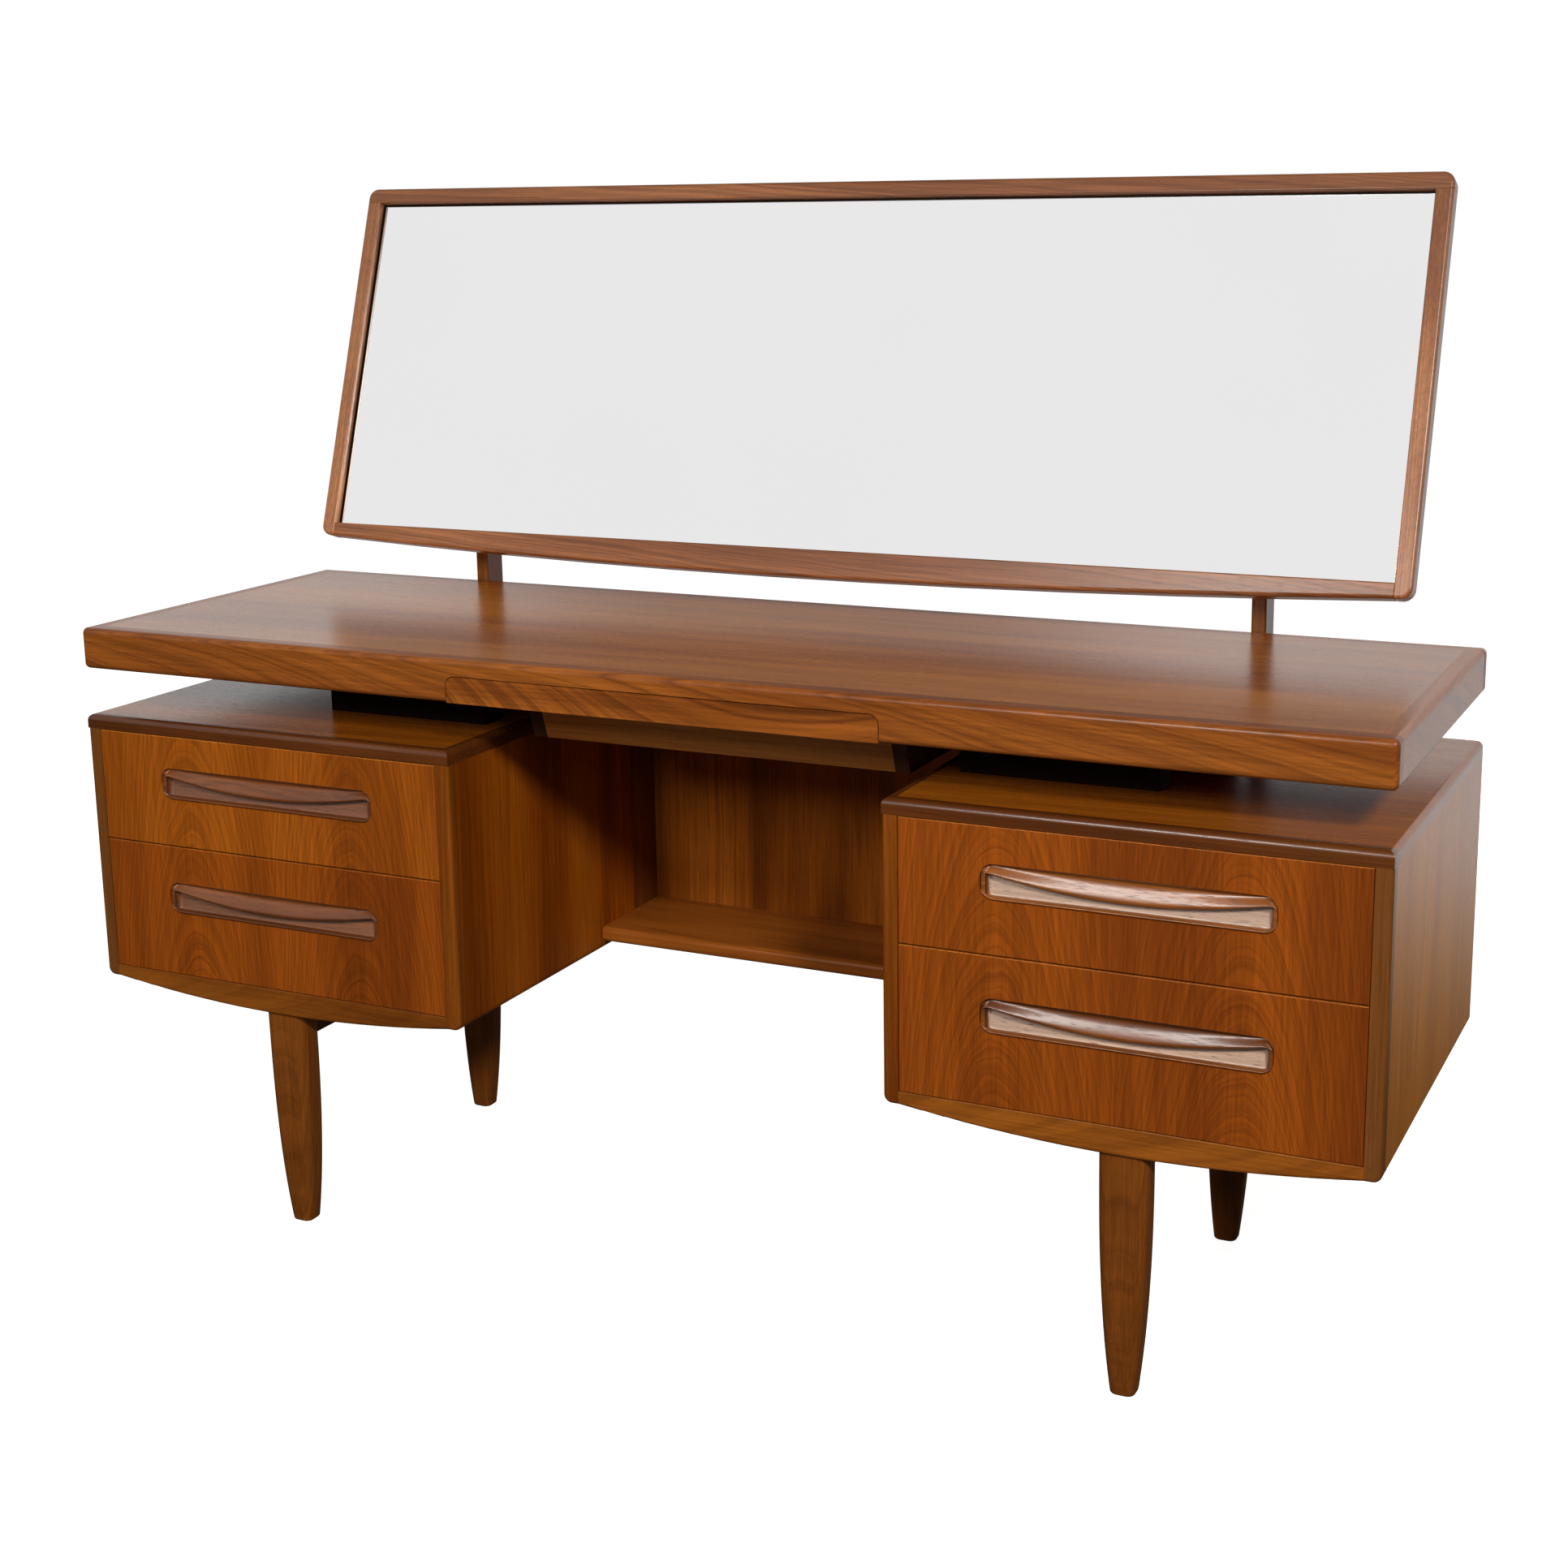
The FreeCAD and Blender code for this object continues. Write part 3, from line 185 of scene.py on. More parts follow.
# what all wood shares: scales of its noise across and along the grain, the noise values between
# which each mask rises, and how far each mask takes the colour
grain = {
    "wander": (1.2, 2.3), "small": (14.0, 5.0), "ripple": (30.0, 22.0),
    "broad": (11.0, 0.9), "fibre": (420.0, 9.0), "pore": (1300.0, 75.0),
    "smallReach": 0.005, "rippleReach": 0.004,  # in metres
    "finer": 3.3,  # how many fine lines lie in the width of one ring
    "ringLimits": (0.40, 0.62), "lineLimits": (0.52, 0.64), "poreLimits": (0.60, 0.72),
    "paleLimits": (0.35, 0.68), "streakLimits": (0.52, 0.30), "fibreLimits": (0.30, 0.72),
    "fibreShade": (0.80, 1.13),  # brightness of the darkest and the palest fibre
    "ringShare": 0.55, "lineShare": 0.42, "poreShare": 0.55, "tintPoreShare": 0.8, "wellShadeShare": 0.85,
    "poreDark": 0.45, "wellShadeDark": 0.35,  # shares of the board's dark colour
    # the well's dark end walls are painted shade, as if the scoop's ends lay in shadow
    "wellWall": 0.0022, "wellStep": 0.0008,  # how softly the well's dark end walls begin
    "bandShift": 0.37,  # how far the grain jumps from a board to its edge band
    "fibreRough": 0.07, "poreRough": 0.2, "fibreHeight": 0.35, "bumpHeight": 0.0004,
    "coatRough": 0.22, "ior": 1.5,
}


# lacquered wood: year rings are cones about a pith line below the face, so a ring's number is
# the root of (way across squared + depth squared), plus the slope times the way along
def wood(name, along, across, **changes):
    look = dict(woodLook, **changes)
    material, tree, place = startMaterial(name)
    split = node(tree, "ShaderNodeSeparateXYZ", {0: place})
    axes = {"X": split.outputs[0], "Y": split.outputs[1], "Z": split.outputs[2]}
    deepAxis = ({"X", "Y", "Z"} - {along, across}).pop()
    v, u, w = axes[along], axes[across], axes[deepAxis]

    # edge bands: a share that is 1 beyond any of the stated planes; they hold darker solid edges, partly
    # painted shade on the lids' edges, a painted highlight on the drawer fronts' top edges and a painted
    # reflection in the handles' scoops
    band = None
    for axis, side, plane in look["bands"]:
        beyond = calc(tree, "GREATER_THAN" if side > 0 else "LESS_THAN", axes[axis], plane)
        band = beyond if band is None else calc(tree, "MAXIMUM", band, beyond)
    shift = look["seed"]
    if band is not None:
        shift = calc(tree, "MULTIPLY_ADD", band, grain["bandShift"], look["seed"])
    vs = calc(tree, "ADD", v, shift)

    # noise drawn out along the grain: one scale across it and another along it
    def drawnOut(scales, third, detail=2.0, roughness=0.5):
        acrossIt, alongIt = calc(tree, "MULTIPLY", u, scales[0]), calc(tree, "MULTIPLY", vs, scales[1])
        return noise(tree, vector(tree, acrossIt, alongIt, third), 1.0, detail, roughness)

    # the same, as fine through the board's thickness as across it
    def drawnOutDeep(scales, detail=2.0, roughness=0.5):
        return drawnOut(scales, calc(tree, "MULTIPLY", w, scales[0]), detail, roughness)

    # the grain wanders slowly along the board
    wobble = swing(tree, drawnOut(grain["wander"], look["seed"]), look["wander"])
    wobble = calc(tree, "ADD", wobble, swing(tree, drawnOut(grain["small"], w), grain["smallReach"]))
    side = u
    if look["fold"] is not None:
        side = calc(tree, "ABSOLUTE", calc(tree, "SUBTRACT", u, look["fold"]))
    side = calc(tree, "ADD", calc(tree, "SUBTRACT", side, look["crown"]), wobble)

    # ring number; a flare squares the radius, so that the rings crowd together away from the crown
    inside = calc(tree, "SUBTRACT", w, look["face"]) if "face" in look else w
    depth = calc(tree, "MULTIPLY_ADD", inside, look["lean"], look["depth"])
    radius = calc(tree, "SQRT", calc(tree, "ADD", calc(tree, "MULTIPLY", side, side),
                                     calc(tree, "MULTIPLY", depth, depth)))
    if look["flare"] is not None:
        radius = calc(tree, "MULTIPLY", calc(tree, "MULTIPLY", radius, radius), 0.5 / look["flare"])
        ripple = drawnOut(grain["ripple"], w)
        radius = calc(tree, "ADD", radius, swing(tree, ripple, grain["rippleReach"]))
    way = calc(tree, "SUBTRACT", v, look["foot"])
    climb = calc(tree, "MULTIPLY", way, calc(tree, "MULTIPLY_ADD", way, look["bend"], look["slope"]))
    radius = calc(tree, "ADD", calc(tree, "ADD", radius, climb), shift)
    rings = noiseLine(tree, radius, 1 / look["ring"], 3.0, 0.62)
    lines = noiseLine(tree, radius, grain["finer"] / look["ring"])
    ringMask = spread(tree, rings, *grain["ringLimits"])
    lineMask = spread(tree, lines, *grain["lineLimits"])

    # broad bands of colour, and fine fibres and pores drawn out along the grain
    broad = drawnOutDeep(grain["broad"], 2.0, 0.6)
    fibre = drawnOutDeep(grain["fibre"], 3.0, 0.65)
    pore = drawnOutDeep(grain["pore"], 1.0)
    poreMask = calc(tree, "MULTIPLY", spread(tree, pore, *grain["poreLimits"]), look["pores"])

    # colour: pale and dark bands, then rings, fine lines, fibres and pores over them
    light, mid, dark = (linear(*look[k]) for k in ("light", "mid", "dark"))
    colour = blendColour(tree, spread(tree, broad, *grain["paleLimits"]), mid, light)
    streaks = calc(tree, "MULTIPLY", spread(tree, broad, *grain["streakLimits"]), look["streak"])
    colour = blendColour(tree, streaks, colour, dark)
    figure = calc(tree, "MULTIPLY", ringMask, look["figure"])
    colour = blendColour(tree, calc(tree, "MULTIPLY", figure, grain["ringShare"]), colour, dark)
    fineLines = calc(tree, "MULTIPLY", lineMask, grain["lineShare"] * look["figure"])
    colour = blendColour(tree, fineLines, colour, dark)
    grey = spread(tree, fibre, *grain["fibreLimits"], *grain["fibreShade"])
    fibres = node(tree, "ShaderNodeCombineColor", {0: grey, 1: grey, 2: grey}).outputs[0]
    colour = blendColour(tree, 1.0, colour, fibres, "MULTIPLY")
    poreColour = shaded(dark, grain["poreDark"])
    colour = blendColour(tree, calc(tree, "MULTIPLY", poreMask, grain["poreShare"]), colour, poreColour)

    # the edge bands' colour, which is partly the solid edges' own and partly painted light, and the painted
    # shade on the end walls of a handle's well
    if band is not None:
        banded = blendColour(tree, 1.0, colour, look["bandShade"] + (1,), "MULTIPLY")
        # a painted reflection: a pale tint mixed into the band, used on the handles' scoop floors
        if look["paintedReflectionTint"] is not None:
            tint = blendColour(tree, 1.0, linear(*look["paintedReflectionTint"][:3]), fibres, "MULTIPLY")
            tint = blendColour(tree, calc(tree, "MULTIPLY", poreMask, grain["tintPoreShare"]), tint, dark)
            banded = blendColour(tree, look["paintedReflectionTint"][3], banded, tint)
        colour = blendColour(tree, band, colour, banded)
    # painted shade on the end walls of a handle's well
    if look["well"] is not None:
        middle, half, floor = look["well"]
        off = calc(tree, "ABSOLUTE", calc(tree, "SUBTRACT", axes["X"], middle))
        atEnd = spread(tree, off, half - grain["wellWall"], half)
        wall = calc(tree, "MULTIPLY", atEnd, spread(tree, axes["Y"], floor, floor + grain["wellStep"]))
        wellShadeColour = shaded(dark, grain["wellShadeDark"])
        colour = blendColour(tree, calc(tree, "MULTIPLY", wall, grain["wellShadeShare"]), colour, wellShadeColour)

    # gloss and relief: pores are duller and lie lower
    rough = swing(tree, fibre, grain["fibreRough"], look["rough"])
    rough = calc(tree, "ADD", rough, calc(tree, "MULTIPLY", poreMask, grain["poreRough"]))
    height = calc(tree, "SUBTRACT", calc(tree, "MULTIPLY", fibre, grain["fibreHeight"]), poreMask)
    bump = node(tree, "ShaderNodeBump", {"Strength": look["bump"], "Distance": grain["bumpHeight"],
                                         "Height": height})
    shader = node(tree, "ShaderNodeBsdfPrincipled", {"Base Color": colour, "Roughness": rough,
                                                     "Normal": bump.outputs[0]})
    shader.inputs["IOR"].default_value = grain["ior"]
    shader.inputs["Specular IOR Level"].default_value = look["gloss"]
    shader.inputs["Coat Weight"].default_value = look["sheen"]
    shader.inputs["Coat Roughness"].default_value = grain["coatRough"]
    return finishMaterial(material, shader)


mirrorLook = {
    # the dark line is painted shade: it stands in for the unlit rebate and its reflection in the glass
    "left": 0.0042, "right": 0.0016, "top": 0.0024,  # widths of the dark line in the glass
    "line": (26, 22, 20), "lineRough": 0.5, "soft": 0.0005,
    "tint": (249, 248, 248), "otherTint": (252, 251, 251), "cloudScale": 3.0,
}


# silvered glass, very faintly uneven in tint, with a painted dark line at its edges that stands in for the
# shade of the rebate and its reflection: the way up the glass is a point's height times the tilt's cosine
# plus its depth times the sine
def mirrorGlass(name):
    look = mirrorLook
    material, tree, place = startMaterial(name)
    cloud = noise(tree, place, look["cloudScale"])
    colour = blendColour(tree, cloud, linear(*look["tint"]), linear(*look["otherTint"]))
    inner = min(abs(v.co.x) for v in nodes["mirror_side_rails"].data.vertices)
    rail = nodes["mirror_top_rail"].data.vertices
    glass = nodes["mirror_glass"].data.vertices
    foot, head = min(glass, key=lambda v: v.co.z).co, max(glass, key=lambda v: v.co.z).co
    tilt = math.atan2(head.y - foot.y, head.z - foot.z)
    up = (0, math.sin(tilt), math.cos(tilt))
    brow = min(v.co.dot(Vector(up)) for v in rail)
    wayUp = node(tree, "ShaderNodeVectorMath", {0: place, 1: up}, operation="DOT_PRODUCT").outputs["Value"]
    wayRight = node(tree, "ShaderNodeSeparateXYZ", {0: place}).outputs[0]
    wayLeft = calc(tree, "MULTIPLY", wayRight, -1.0)
    edges = ((wayLeft, inner - look["left"]), (wayRight, inner - look["right"]), (wayUp, brow - look["top"]))
    # the painted shade line along the left, right and top edges
    line = 0.0
    for way, limit in edges:
        line = calc(tree, "MAXIMUM", line, spread(tree, way, limit - look["soft"], limit + look["soft"]))
    colour = blendColour(tree, line, colour, linear(*look["line"]))
    # none at all on the clean glass, so its rays stay sharp
    rough = calc(tree, "MULTIPLY", line, look["lineRough"])
    shader = node(tree, "ShaderNodeBsdfPrincipled", {"Base Color": colour, "Roughness": rough})
    shader.inputs["Metallic"].default_value = 1.0
    return finishMaterial(material, shader)


metalLook = {
    "cloudScale": 160.0, "markScale": (3000, 300, 300),  # turning marks are ten times finer along x
    "markRough": 0.1, "bump": 0.15, "bumpHeight": 0.0002,
}


# plated or turned metal: a cloudy tint, and fine turning marks in the gloss, which swings either
# side of the stated roughness
def metal(name, bright, dull, rough):
    material, tree, place = startMaterial(name)
    cloud = noise(tree, place, metalLook["cloudScale"], 3.0, 0.6)
    finer = node(tree, "ShaderNodeMapping", {"Vector": place, "Scale": metalLook["markScale"]}).outputs[0]
    marks = noise(tree, finer, 1.0)
    colour = blendColour(tree, cloud, linear(*bright), linear(*dull))
    roughness = swing(tree, marks, metalLook["markRough"], rough)
    bump = node(tree, "ShaderNodeBump", {"Strength": metalLook["bump"], "Distance": metalLook["bumpHeight"],
                                         "Height": marks})
    shader = node(tree, "ShaderNodeBsdfPrincipled", {"Base Color": colour, "Roughness": roughness,
                                                     "Normal": bump.outputs[0]})
    shader.inputs["Metallic"].default_value = 1.0
    return finishMaterial(material, shader)


# gives each of the named nodes this one material
def dress(material, *names):
    for name in names:
        slots = nodes[name].data.materials
        slots.clear()
        slots.append(material)


# the front width is a painted highlight strip along each drawer front's top edge
bandWidth = {"lid": 0.012, "side": 0.015, "front": 0.0008}  # in metres


def dressTop():
    dress(wood("top_teak", "X", "Y", ring=0.009, figure=0.28, streak=0.30, slope=0.012, depth=0.03,
               crown=-0.02, wander=0.006, seed=1.7, rough=0.24, gloss=0.38, sheen=0.10,
               light=(194, 120, 44), mid=(164, 92, 28), dark=(116, 60, 20)), "top_board")
    dress(wood("edge_teak", "X", "Z", ring=0.0050, figure=0.75, streak=0.45, slope=0.055, depth=0.01,
               crown=0.62, seed=4.1, wander=0.018,
               light=(166, 94, 34), mid=(138, 73, 25), dark=(88, 43, 15)), "top_front_lipping")
    dress(wood("end_teak", "Y", "Z", ring=0.005, figure=0.6, slope=0.03, depth=0.06, crown=0.62, seed=2.3,
               gloss=0.36, sheen=0.08,
               light=(178, 104, 40), mid=(150, 82, 28), dark=(102, 52, 18)), "top_edge_lippings")
    dress(wood("centre_front_teak", "X", "Z", ring=0.0060, figure=1.0, slope=0.04, bend=-0.42, foot=0.10,
               depth=0.01, crown=0.60, seed=7.9, wander=0.014,
               light=(190, 110, 42), mid=(160, 87, 28), dark=(90, 44, 15)), "centre_drawer_front")
    dress(wood("dark_batten_wood", "X", "Z", seed=3.0, rough=0.8, gloss=0.05, sheen=0.0,
               light=(34, 20, 13), mid=(24, 14, 9), dark=(12, 7, 5)), "top_spacers")


# the outer sides are painted lighter, as lit copies of the teak, and are more polished than the inner ones
wallLooks = {
    "outer": {"figure": 0.30, "streak": 0.22, "bandShade": (0.30, 0.30, 0.6), "gloss": 0.34, "sheen": 0.12,
              "light": (222, 138, 46), "mid": (204, 122, 36), "dark": (140, 72, 16)},
    "inner": {"figure": 0.45, "streak": 0.55, "bandShade": (0.62, 0.68, 1.2), "gloss": 0.05, "sheen": 0.0,
              "light": (180, 96, 20), "mid": (156, 76, 11), "dark": (100, 44, 7)},
}


# each side has its own seed, so that left and right differ; a lid's dark band runs along its front edge and
# down the edge beside the kneehole, partly the darker solid edge and partly painted shade
def dressPedestals():
    for number, side in enumerate(("left", "right")):
        low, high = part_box(side + "_pedestal_lid")
        width = bandWidth["lid"]
        kneeEdge = ("X", 1, high.x - width) if side == "left" else ("X", -1, low.x + width)
        dress(wood(side + "_lid_teak", "X", "Y", ring=0.007, figure=0.35, slope=0.03, depth=0.05,
                   seed=5.2 + number, gloss=0.36, sheen=0.15, rough=0.26, pores=0.9,
                   light=(182, 104, 24), mid=(160, 84, 14), dark=(106, 52, 10),
                   bandShade=(0.34, 0.34, 0.95), bands=(("Y", -1, low.y + width), kneeEdge)),
              side + "_pedestal_lid")
        for wall in ("outer", "inner"):
            name = side + "_" + wall + "_side"
            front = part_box(name)[0].y
            dress(wood(name + "_teak", "Z", "Y", ring=0.006, slope=0.015, depth=0.04, wander=0.006,
                       seed=0.9 + number + (0.4 if wall == "inner" else 0), **wallLooks[wall],
                       bands=(("Y", -1, front + bandWidth["side"]),)), name)
        dress(wood(side + "_rail_teak", "X", "Z", ring=0.005, figure=0.5, slope=0.04, depth=0.05, crown=0.3,
                   seed=6.6 + number, light=(162, 92, 26), mid=(138, 74, 18), dark=(94, 46, 12)),
              side + "_bottom_rail")
    dress(wood("stile_teak", "Z", "X", ring=0.006, figure=0.5, seed=8.8,
               light=(124, 66, 24), mid=(100, 50, 16), dark=(66, 30, 10)), "kneehole_rear_stiles")
    dress(wood("shelf_teak", "X", "Y", ring=0.007, figure=0.4, slope=0.03, depth=0.05, seed=9.4,
               light=(182, 106, 38), mid=(158, 86, 26), dark=(110, 56, 16)), "kneehole_shelf")
    dress(wood("knee_back_teak", "Z", "X", ring=0.008, figure=0.5, streak=0.8, slope=0.015, depth=0.05,
               seed=11.3, wander=0.006, gloss=0.10, sheen=0.0,
               light=(170, 94, 28), mid=(144, 74, 17), dark=(78, 36, 9)), "kneehole_back")
    plain = {"light": (196, 158, 116), "mid": (180, 138, 96), "dark": (146, 104, 68), "figure": 0.35,
             "sheen": 0.1, "rough": 0.45}
    dress(wood("carcase_wood", "X", "Y", seed=2.2, **plain), "pedestal_floors", "pedestal_backs")
    dress(wood("runner_wood", "Y", "Z", seed=2.9, **plain), "drawer_runners")


# the veneer folds like an open book about each front's middle; the pale band along its top edge is a painted
# highlight
drawerLook = {
    "foldShift": {"left": 0.004, "right": -0.006},  # how far the fold lies from the front's middle
    # painted light: the upper left front is a lit, paler copy of one veneer and the other fronts are shaded,
    # deeper copies
    "litPaler": {"light": (182, 98, 22), "mid": (158, 80, 15), "dark": (92, 42, 9)},
    "shadedDeeper": {"light": (168, 84, 18), "mid": (142, 68, 13), "dark": (82, 36, 8)},
    "box": {"ring": 0.012, "figure": 0.35, "rough": 0.42, "sheen": 0.1,
            "light": (206, 168, 124), "mid": (190, 146, 102), "dark": (154, 110, 72)},
    "centre": {"ring": 0.016, "figure": 0.3, "rough": 0.42, "gloss": 0.14, "sheen": 0.0,
               "light": (204, 130, 60), "mid": (178, 106, 46), "dark": (134, 74, 32)},
}


def dressDrawers():
    for number, side in enumerate(("left", "right")):
        low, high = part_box("upper_%s_drawer_front" % side)
        fold = (low.x + high.x) / 2 + drawerLook["foldShift"][side]
        for level in ("upper", "lower"):
            name = "%s_%s_drawer" % (level, side)
            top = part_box(name + "_front")[1].z
            colours = drawerLook["litPaler" if side == "left" and level == "upper" else "shadedDeeper"]
            front = wood(name + "_veneer", "Z", "X", ring=0.0072, figure=0.52, streak=0.22, slope=0.30,
                         depth=0.014, face=low.y, flare=0.042, fold=fold, crown=0.112 + 0.012 * number,
                         seed=3.4 + 1.1 * number, wander=0.016, gloss=0.16, sheen=0.04, pores=0.35,
                         rough=0.36, bands=(("Z", 1, top - bandWidth["front"]),), bandShade=(1.5, 1.9, 3.0),
                         **colours)
            dress(front, name + "_front")
            box = wood(name + "_box_wood", "Y", "Z", seed=1.0 + number, **drawerLook["box"])
            dress(box, name + "_sides")
            back = wood(name + "_back_wood", "X", "Z", seed=1.5 + number, **drawerLook["box"])
            dress(back, name + "_back", name + "_bottom")
    dress(wood("well_front_wood", "X", "Z", seed=6.1, **drawerLook["centre"]), "centre_drawer_well_front",
          "centre_drawer_back", "centre_drawer_bottoms")
    dress(wood("well_side_wood", "Y", "Z", seed=6.3, **drawerLook["centre"]), "centre_drawer_sides")
    dress(wood("guide_wood", "Y", "Z", ring=0.016, figure=0.3, seed=6.7, rough=0.6, gloss=0.1, sheen=0.0,
               light=(84, 54, 36), mid=(66, 42, 28), dark=(44, 28, 18)), "centre_drawer_guides")


# the rings of a leg close about its own middle line
def dressLegs():
    for number, name in enumerate(("front_left_leg", "front_right_leg", "rear_left_leg", "rear_right_leg")):
        low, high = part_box(name)
        dress(wood(name + "_teak", "Z", "X", ring=0.005, figure=0.5, slope=0.05, depth=0.02,
                   crown=(low.x + high.x) / 2, seed=1.3 * number,
                   light=(144, 80, 26), mid=(120, 64, 19), dark=(80, 40, 12)), name)
    dress(wood("leg_rail_teak", "Y", "Z", seed=5.5,
               light=(134, 74, 30), mid=(108, 58, 22), dark=(72, 36, 12)), "leg_rails")


def dressMirror():
    frameLook = {"light": (204, 138, 92), "mid": (164, 102, 62), "dark": (98, 56, 32), "figure": 0.85,
                 "streak": 0.5, "gloss": 0.36, "sheen": 0.14, "lean": 0.08}
    dress(wood("frame_rail_teak", "X", "Z", ring=0.0050, slope=0.07, depth=0.02, crown=0.70, seed=2.6,
               wander=0.02, **frameLook), "mirror_top_rail", "mirror_bottom_rail")
    dress(wood("frame_side_teak", "Z", "X", ring=0.0042, slope=0.004, depth=0.03, crown=0.60, seed=3.6,
               wander=0.004, **frameLook), "mirror_side_rails")
    dress(mirrorGlass("silvered_glass"), "mirror_glass")
    dress(wood("backing_ply", "X", "Z", ring=0.03, figure=0.4, seed=4.4, rough=0.55, sheen=0.0,
               light=(188, 150, 110), mid=(170, 130, 90), dark=(140, 100, 66)), "mirror_backboard")
    dress(wood("cleat_wood", "Z", "X", seed=4.9, rough=0.5, sheen=0.0,
               light=(176, 130, 88), mid=(156, 110, 70), dark=(120, 80, 50)), "mirror_cleats")
    dress(wood("post_teak", "Z", "Y", ring=0.006, figure=0.5, seed=7.4,
               light=(182, 114, 46), mid=(152, 90, 32), dark=(98, 52, 18)),
          "left_mirror_post", "right_mirror_post")
    dress(metal("plated_steel", (196, 194, 188), (150, 148, 144), 0.35), "mirror_brackets", "post_screws")
    dress(metal("turned_brass", (214, 178, 104), (170, 130, 66), 0.28), "mirror_pivot_bolts")


dressTop()
dressPedestals()
dressDrawers()
dressLegs()
dressMirror()
print("finishes made")


handle = {
    "long": 0.2950, "high": 0.0375, "corner": 0.014,
    "deep": 0.0176,  # how far the block reaches into the front
    "recessEnd": 0.0055,  # solid wood left at each end of the scoop
    "lipEnd": 0.0090, "lipMiddle": -0.0067,  # height of the lip's lower edge about the centre
    "lipGap": 0.004,  # the least height of the hollow behind the lip
    "rim": 0.0014, "wallIn": 0.004, "wallOut": 0.001,  # the scoop's end wall rises over these lengths
    "round": 0.0034, "roundHigh": 0.0016, "roundLong": 0.0022,  # depth and reach of the rounded outer edge
    "columns": 150, "rows": 84,
}

# the lip's section as (depth, height) pairs, the height as a share of the way from the lip's
# lower edge, 0, to the block's top edge, 1
lipSection = np.array([(0.0018, 1.000), (0.0012, 0.972), (0.0036, 0.890), (0.0054, 0.780), (0.0047, 0.620),
                       (0.0026, 0.420), (0.0008, 0.240), (0.0001, 0.110), (0.0016, 0.000), (0.0050, 0.020)])
# behind and below the lip, as (depth, height in metres about the centre): the recess's floor
# leans forward down to a small step, and a thin rounded rim closes the section
scoopSection = np.array([(0.0088, 0.0046), (0.0104, 0.0080), (0.0108, 0.0050), (0.0096, -0.0020),
                         (0.0083, -0.0090), (0.0073, -0.0138), (0.0064, -0.0148), (0.0030, -0.0154),
                         (0.0013, -0.0162), (0.0009, -0.0172), (0.0017, -0.0182), (0.0034, -0.01875)])


# 0 below the low limit, 1 above the high one, and 3 share squared - 2 share cubed between them
def smoothStep(value, low, high):
    share = np.clip((value - low) / (high - low), 0, 1)
    return share * share * (3 - 2 * share)


# a smooth path through points, (columns, n, 2): cubic pieces whose tangent at a point is half
# the way from the point before to the point after
def throughPoints(points, count):
    before, after = 2 * points[:, :1] - points[:, 1:2], 2 * points[:, -1:] - points[:, -2:-1]
    padded = np.concatenate([before, points, after], axis=1)
    place = np.linspace(0, points.shape[1] - 1, count)
    first = np.minimum(place.astype(int), points.shape[1] - 2)
    t = (place - first)[None, :, None]
    a, b, c, d = (padded[:, first + k] for k in range(4))
    square, cube = 2 * a - 5 * b + 4 * c - d, 3 * b - a - 3 * c + d
    return 0.5 * (2 * b + (c - a) * t + square * t ** 2 + cube * t ** 3)


# a mesh from a grid of points, (columns, around, 3), joined round the second way and closed at
# each end by triangles to the mean of that end's points
def closedGrid(name, points):
    columns, around = points.shape[:2]
    index = np.arange(columns * around).reshape(columns, around)
    nextRound = np.roll(index, -1, axis=1)
    quads = np.stack([index[:-1], nextRound[:-1], nextRound[1:], index[1:]], axis=-1).reshape(-1, 4)
    middles = np.stack([points[0].mean(0), points[-1].mean(0)])
    vertices = np.concatenate([points.reshape(-1, 3), middles])
    first, last = columns * around, columns * around + 1
    faces = quads.tolist()
    faces += np.stack([np.full(around, first), nextRound[0], index[0]], axis=-1).tolist()
    faces += np.stack([np.full(around, last), index[-1], nextRound[-1]], axis=-1).tolist()
    mesh = bpy.data.meshes.new(name)
    mesh.from_pydata(vertices.tolist(), [], faces)
    mesh.update()
    piece = bpy.data.objects.new(name, mesh)
    scene.collection.objects.link(piece)
    return piece


# makes every face look away from the inside, and shades the piece smooth
def turnOutwards(piece):
    work = bmesh.new()
    work.from_mesh(piece.data)
    bmesh.ops.recalc_face_normals(work, faces=work.faces)
    work.to_mesh(piece.data)
    work.free()
    piece.data.shade_smooth()


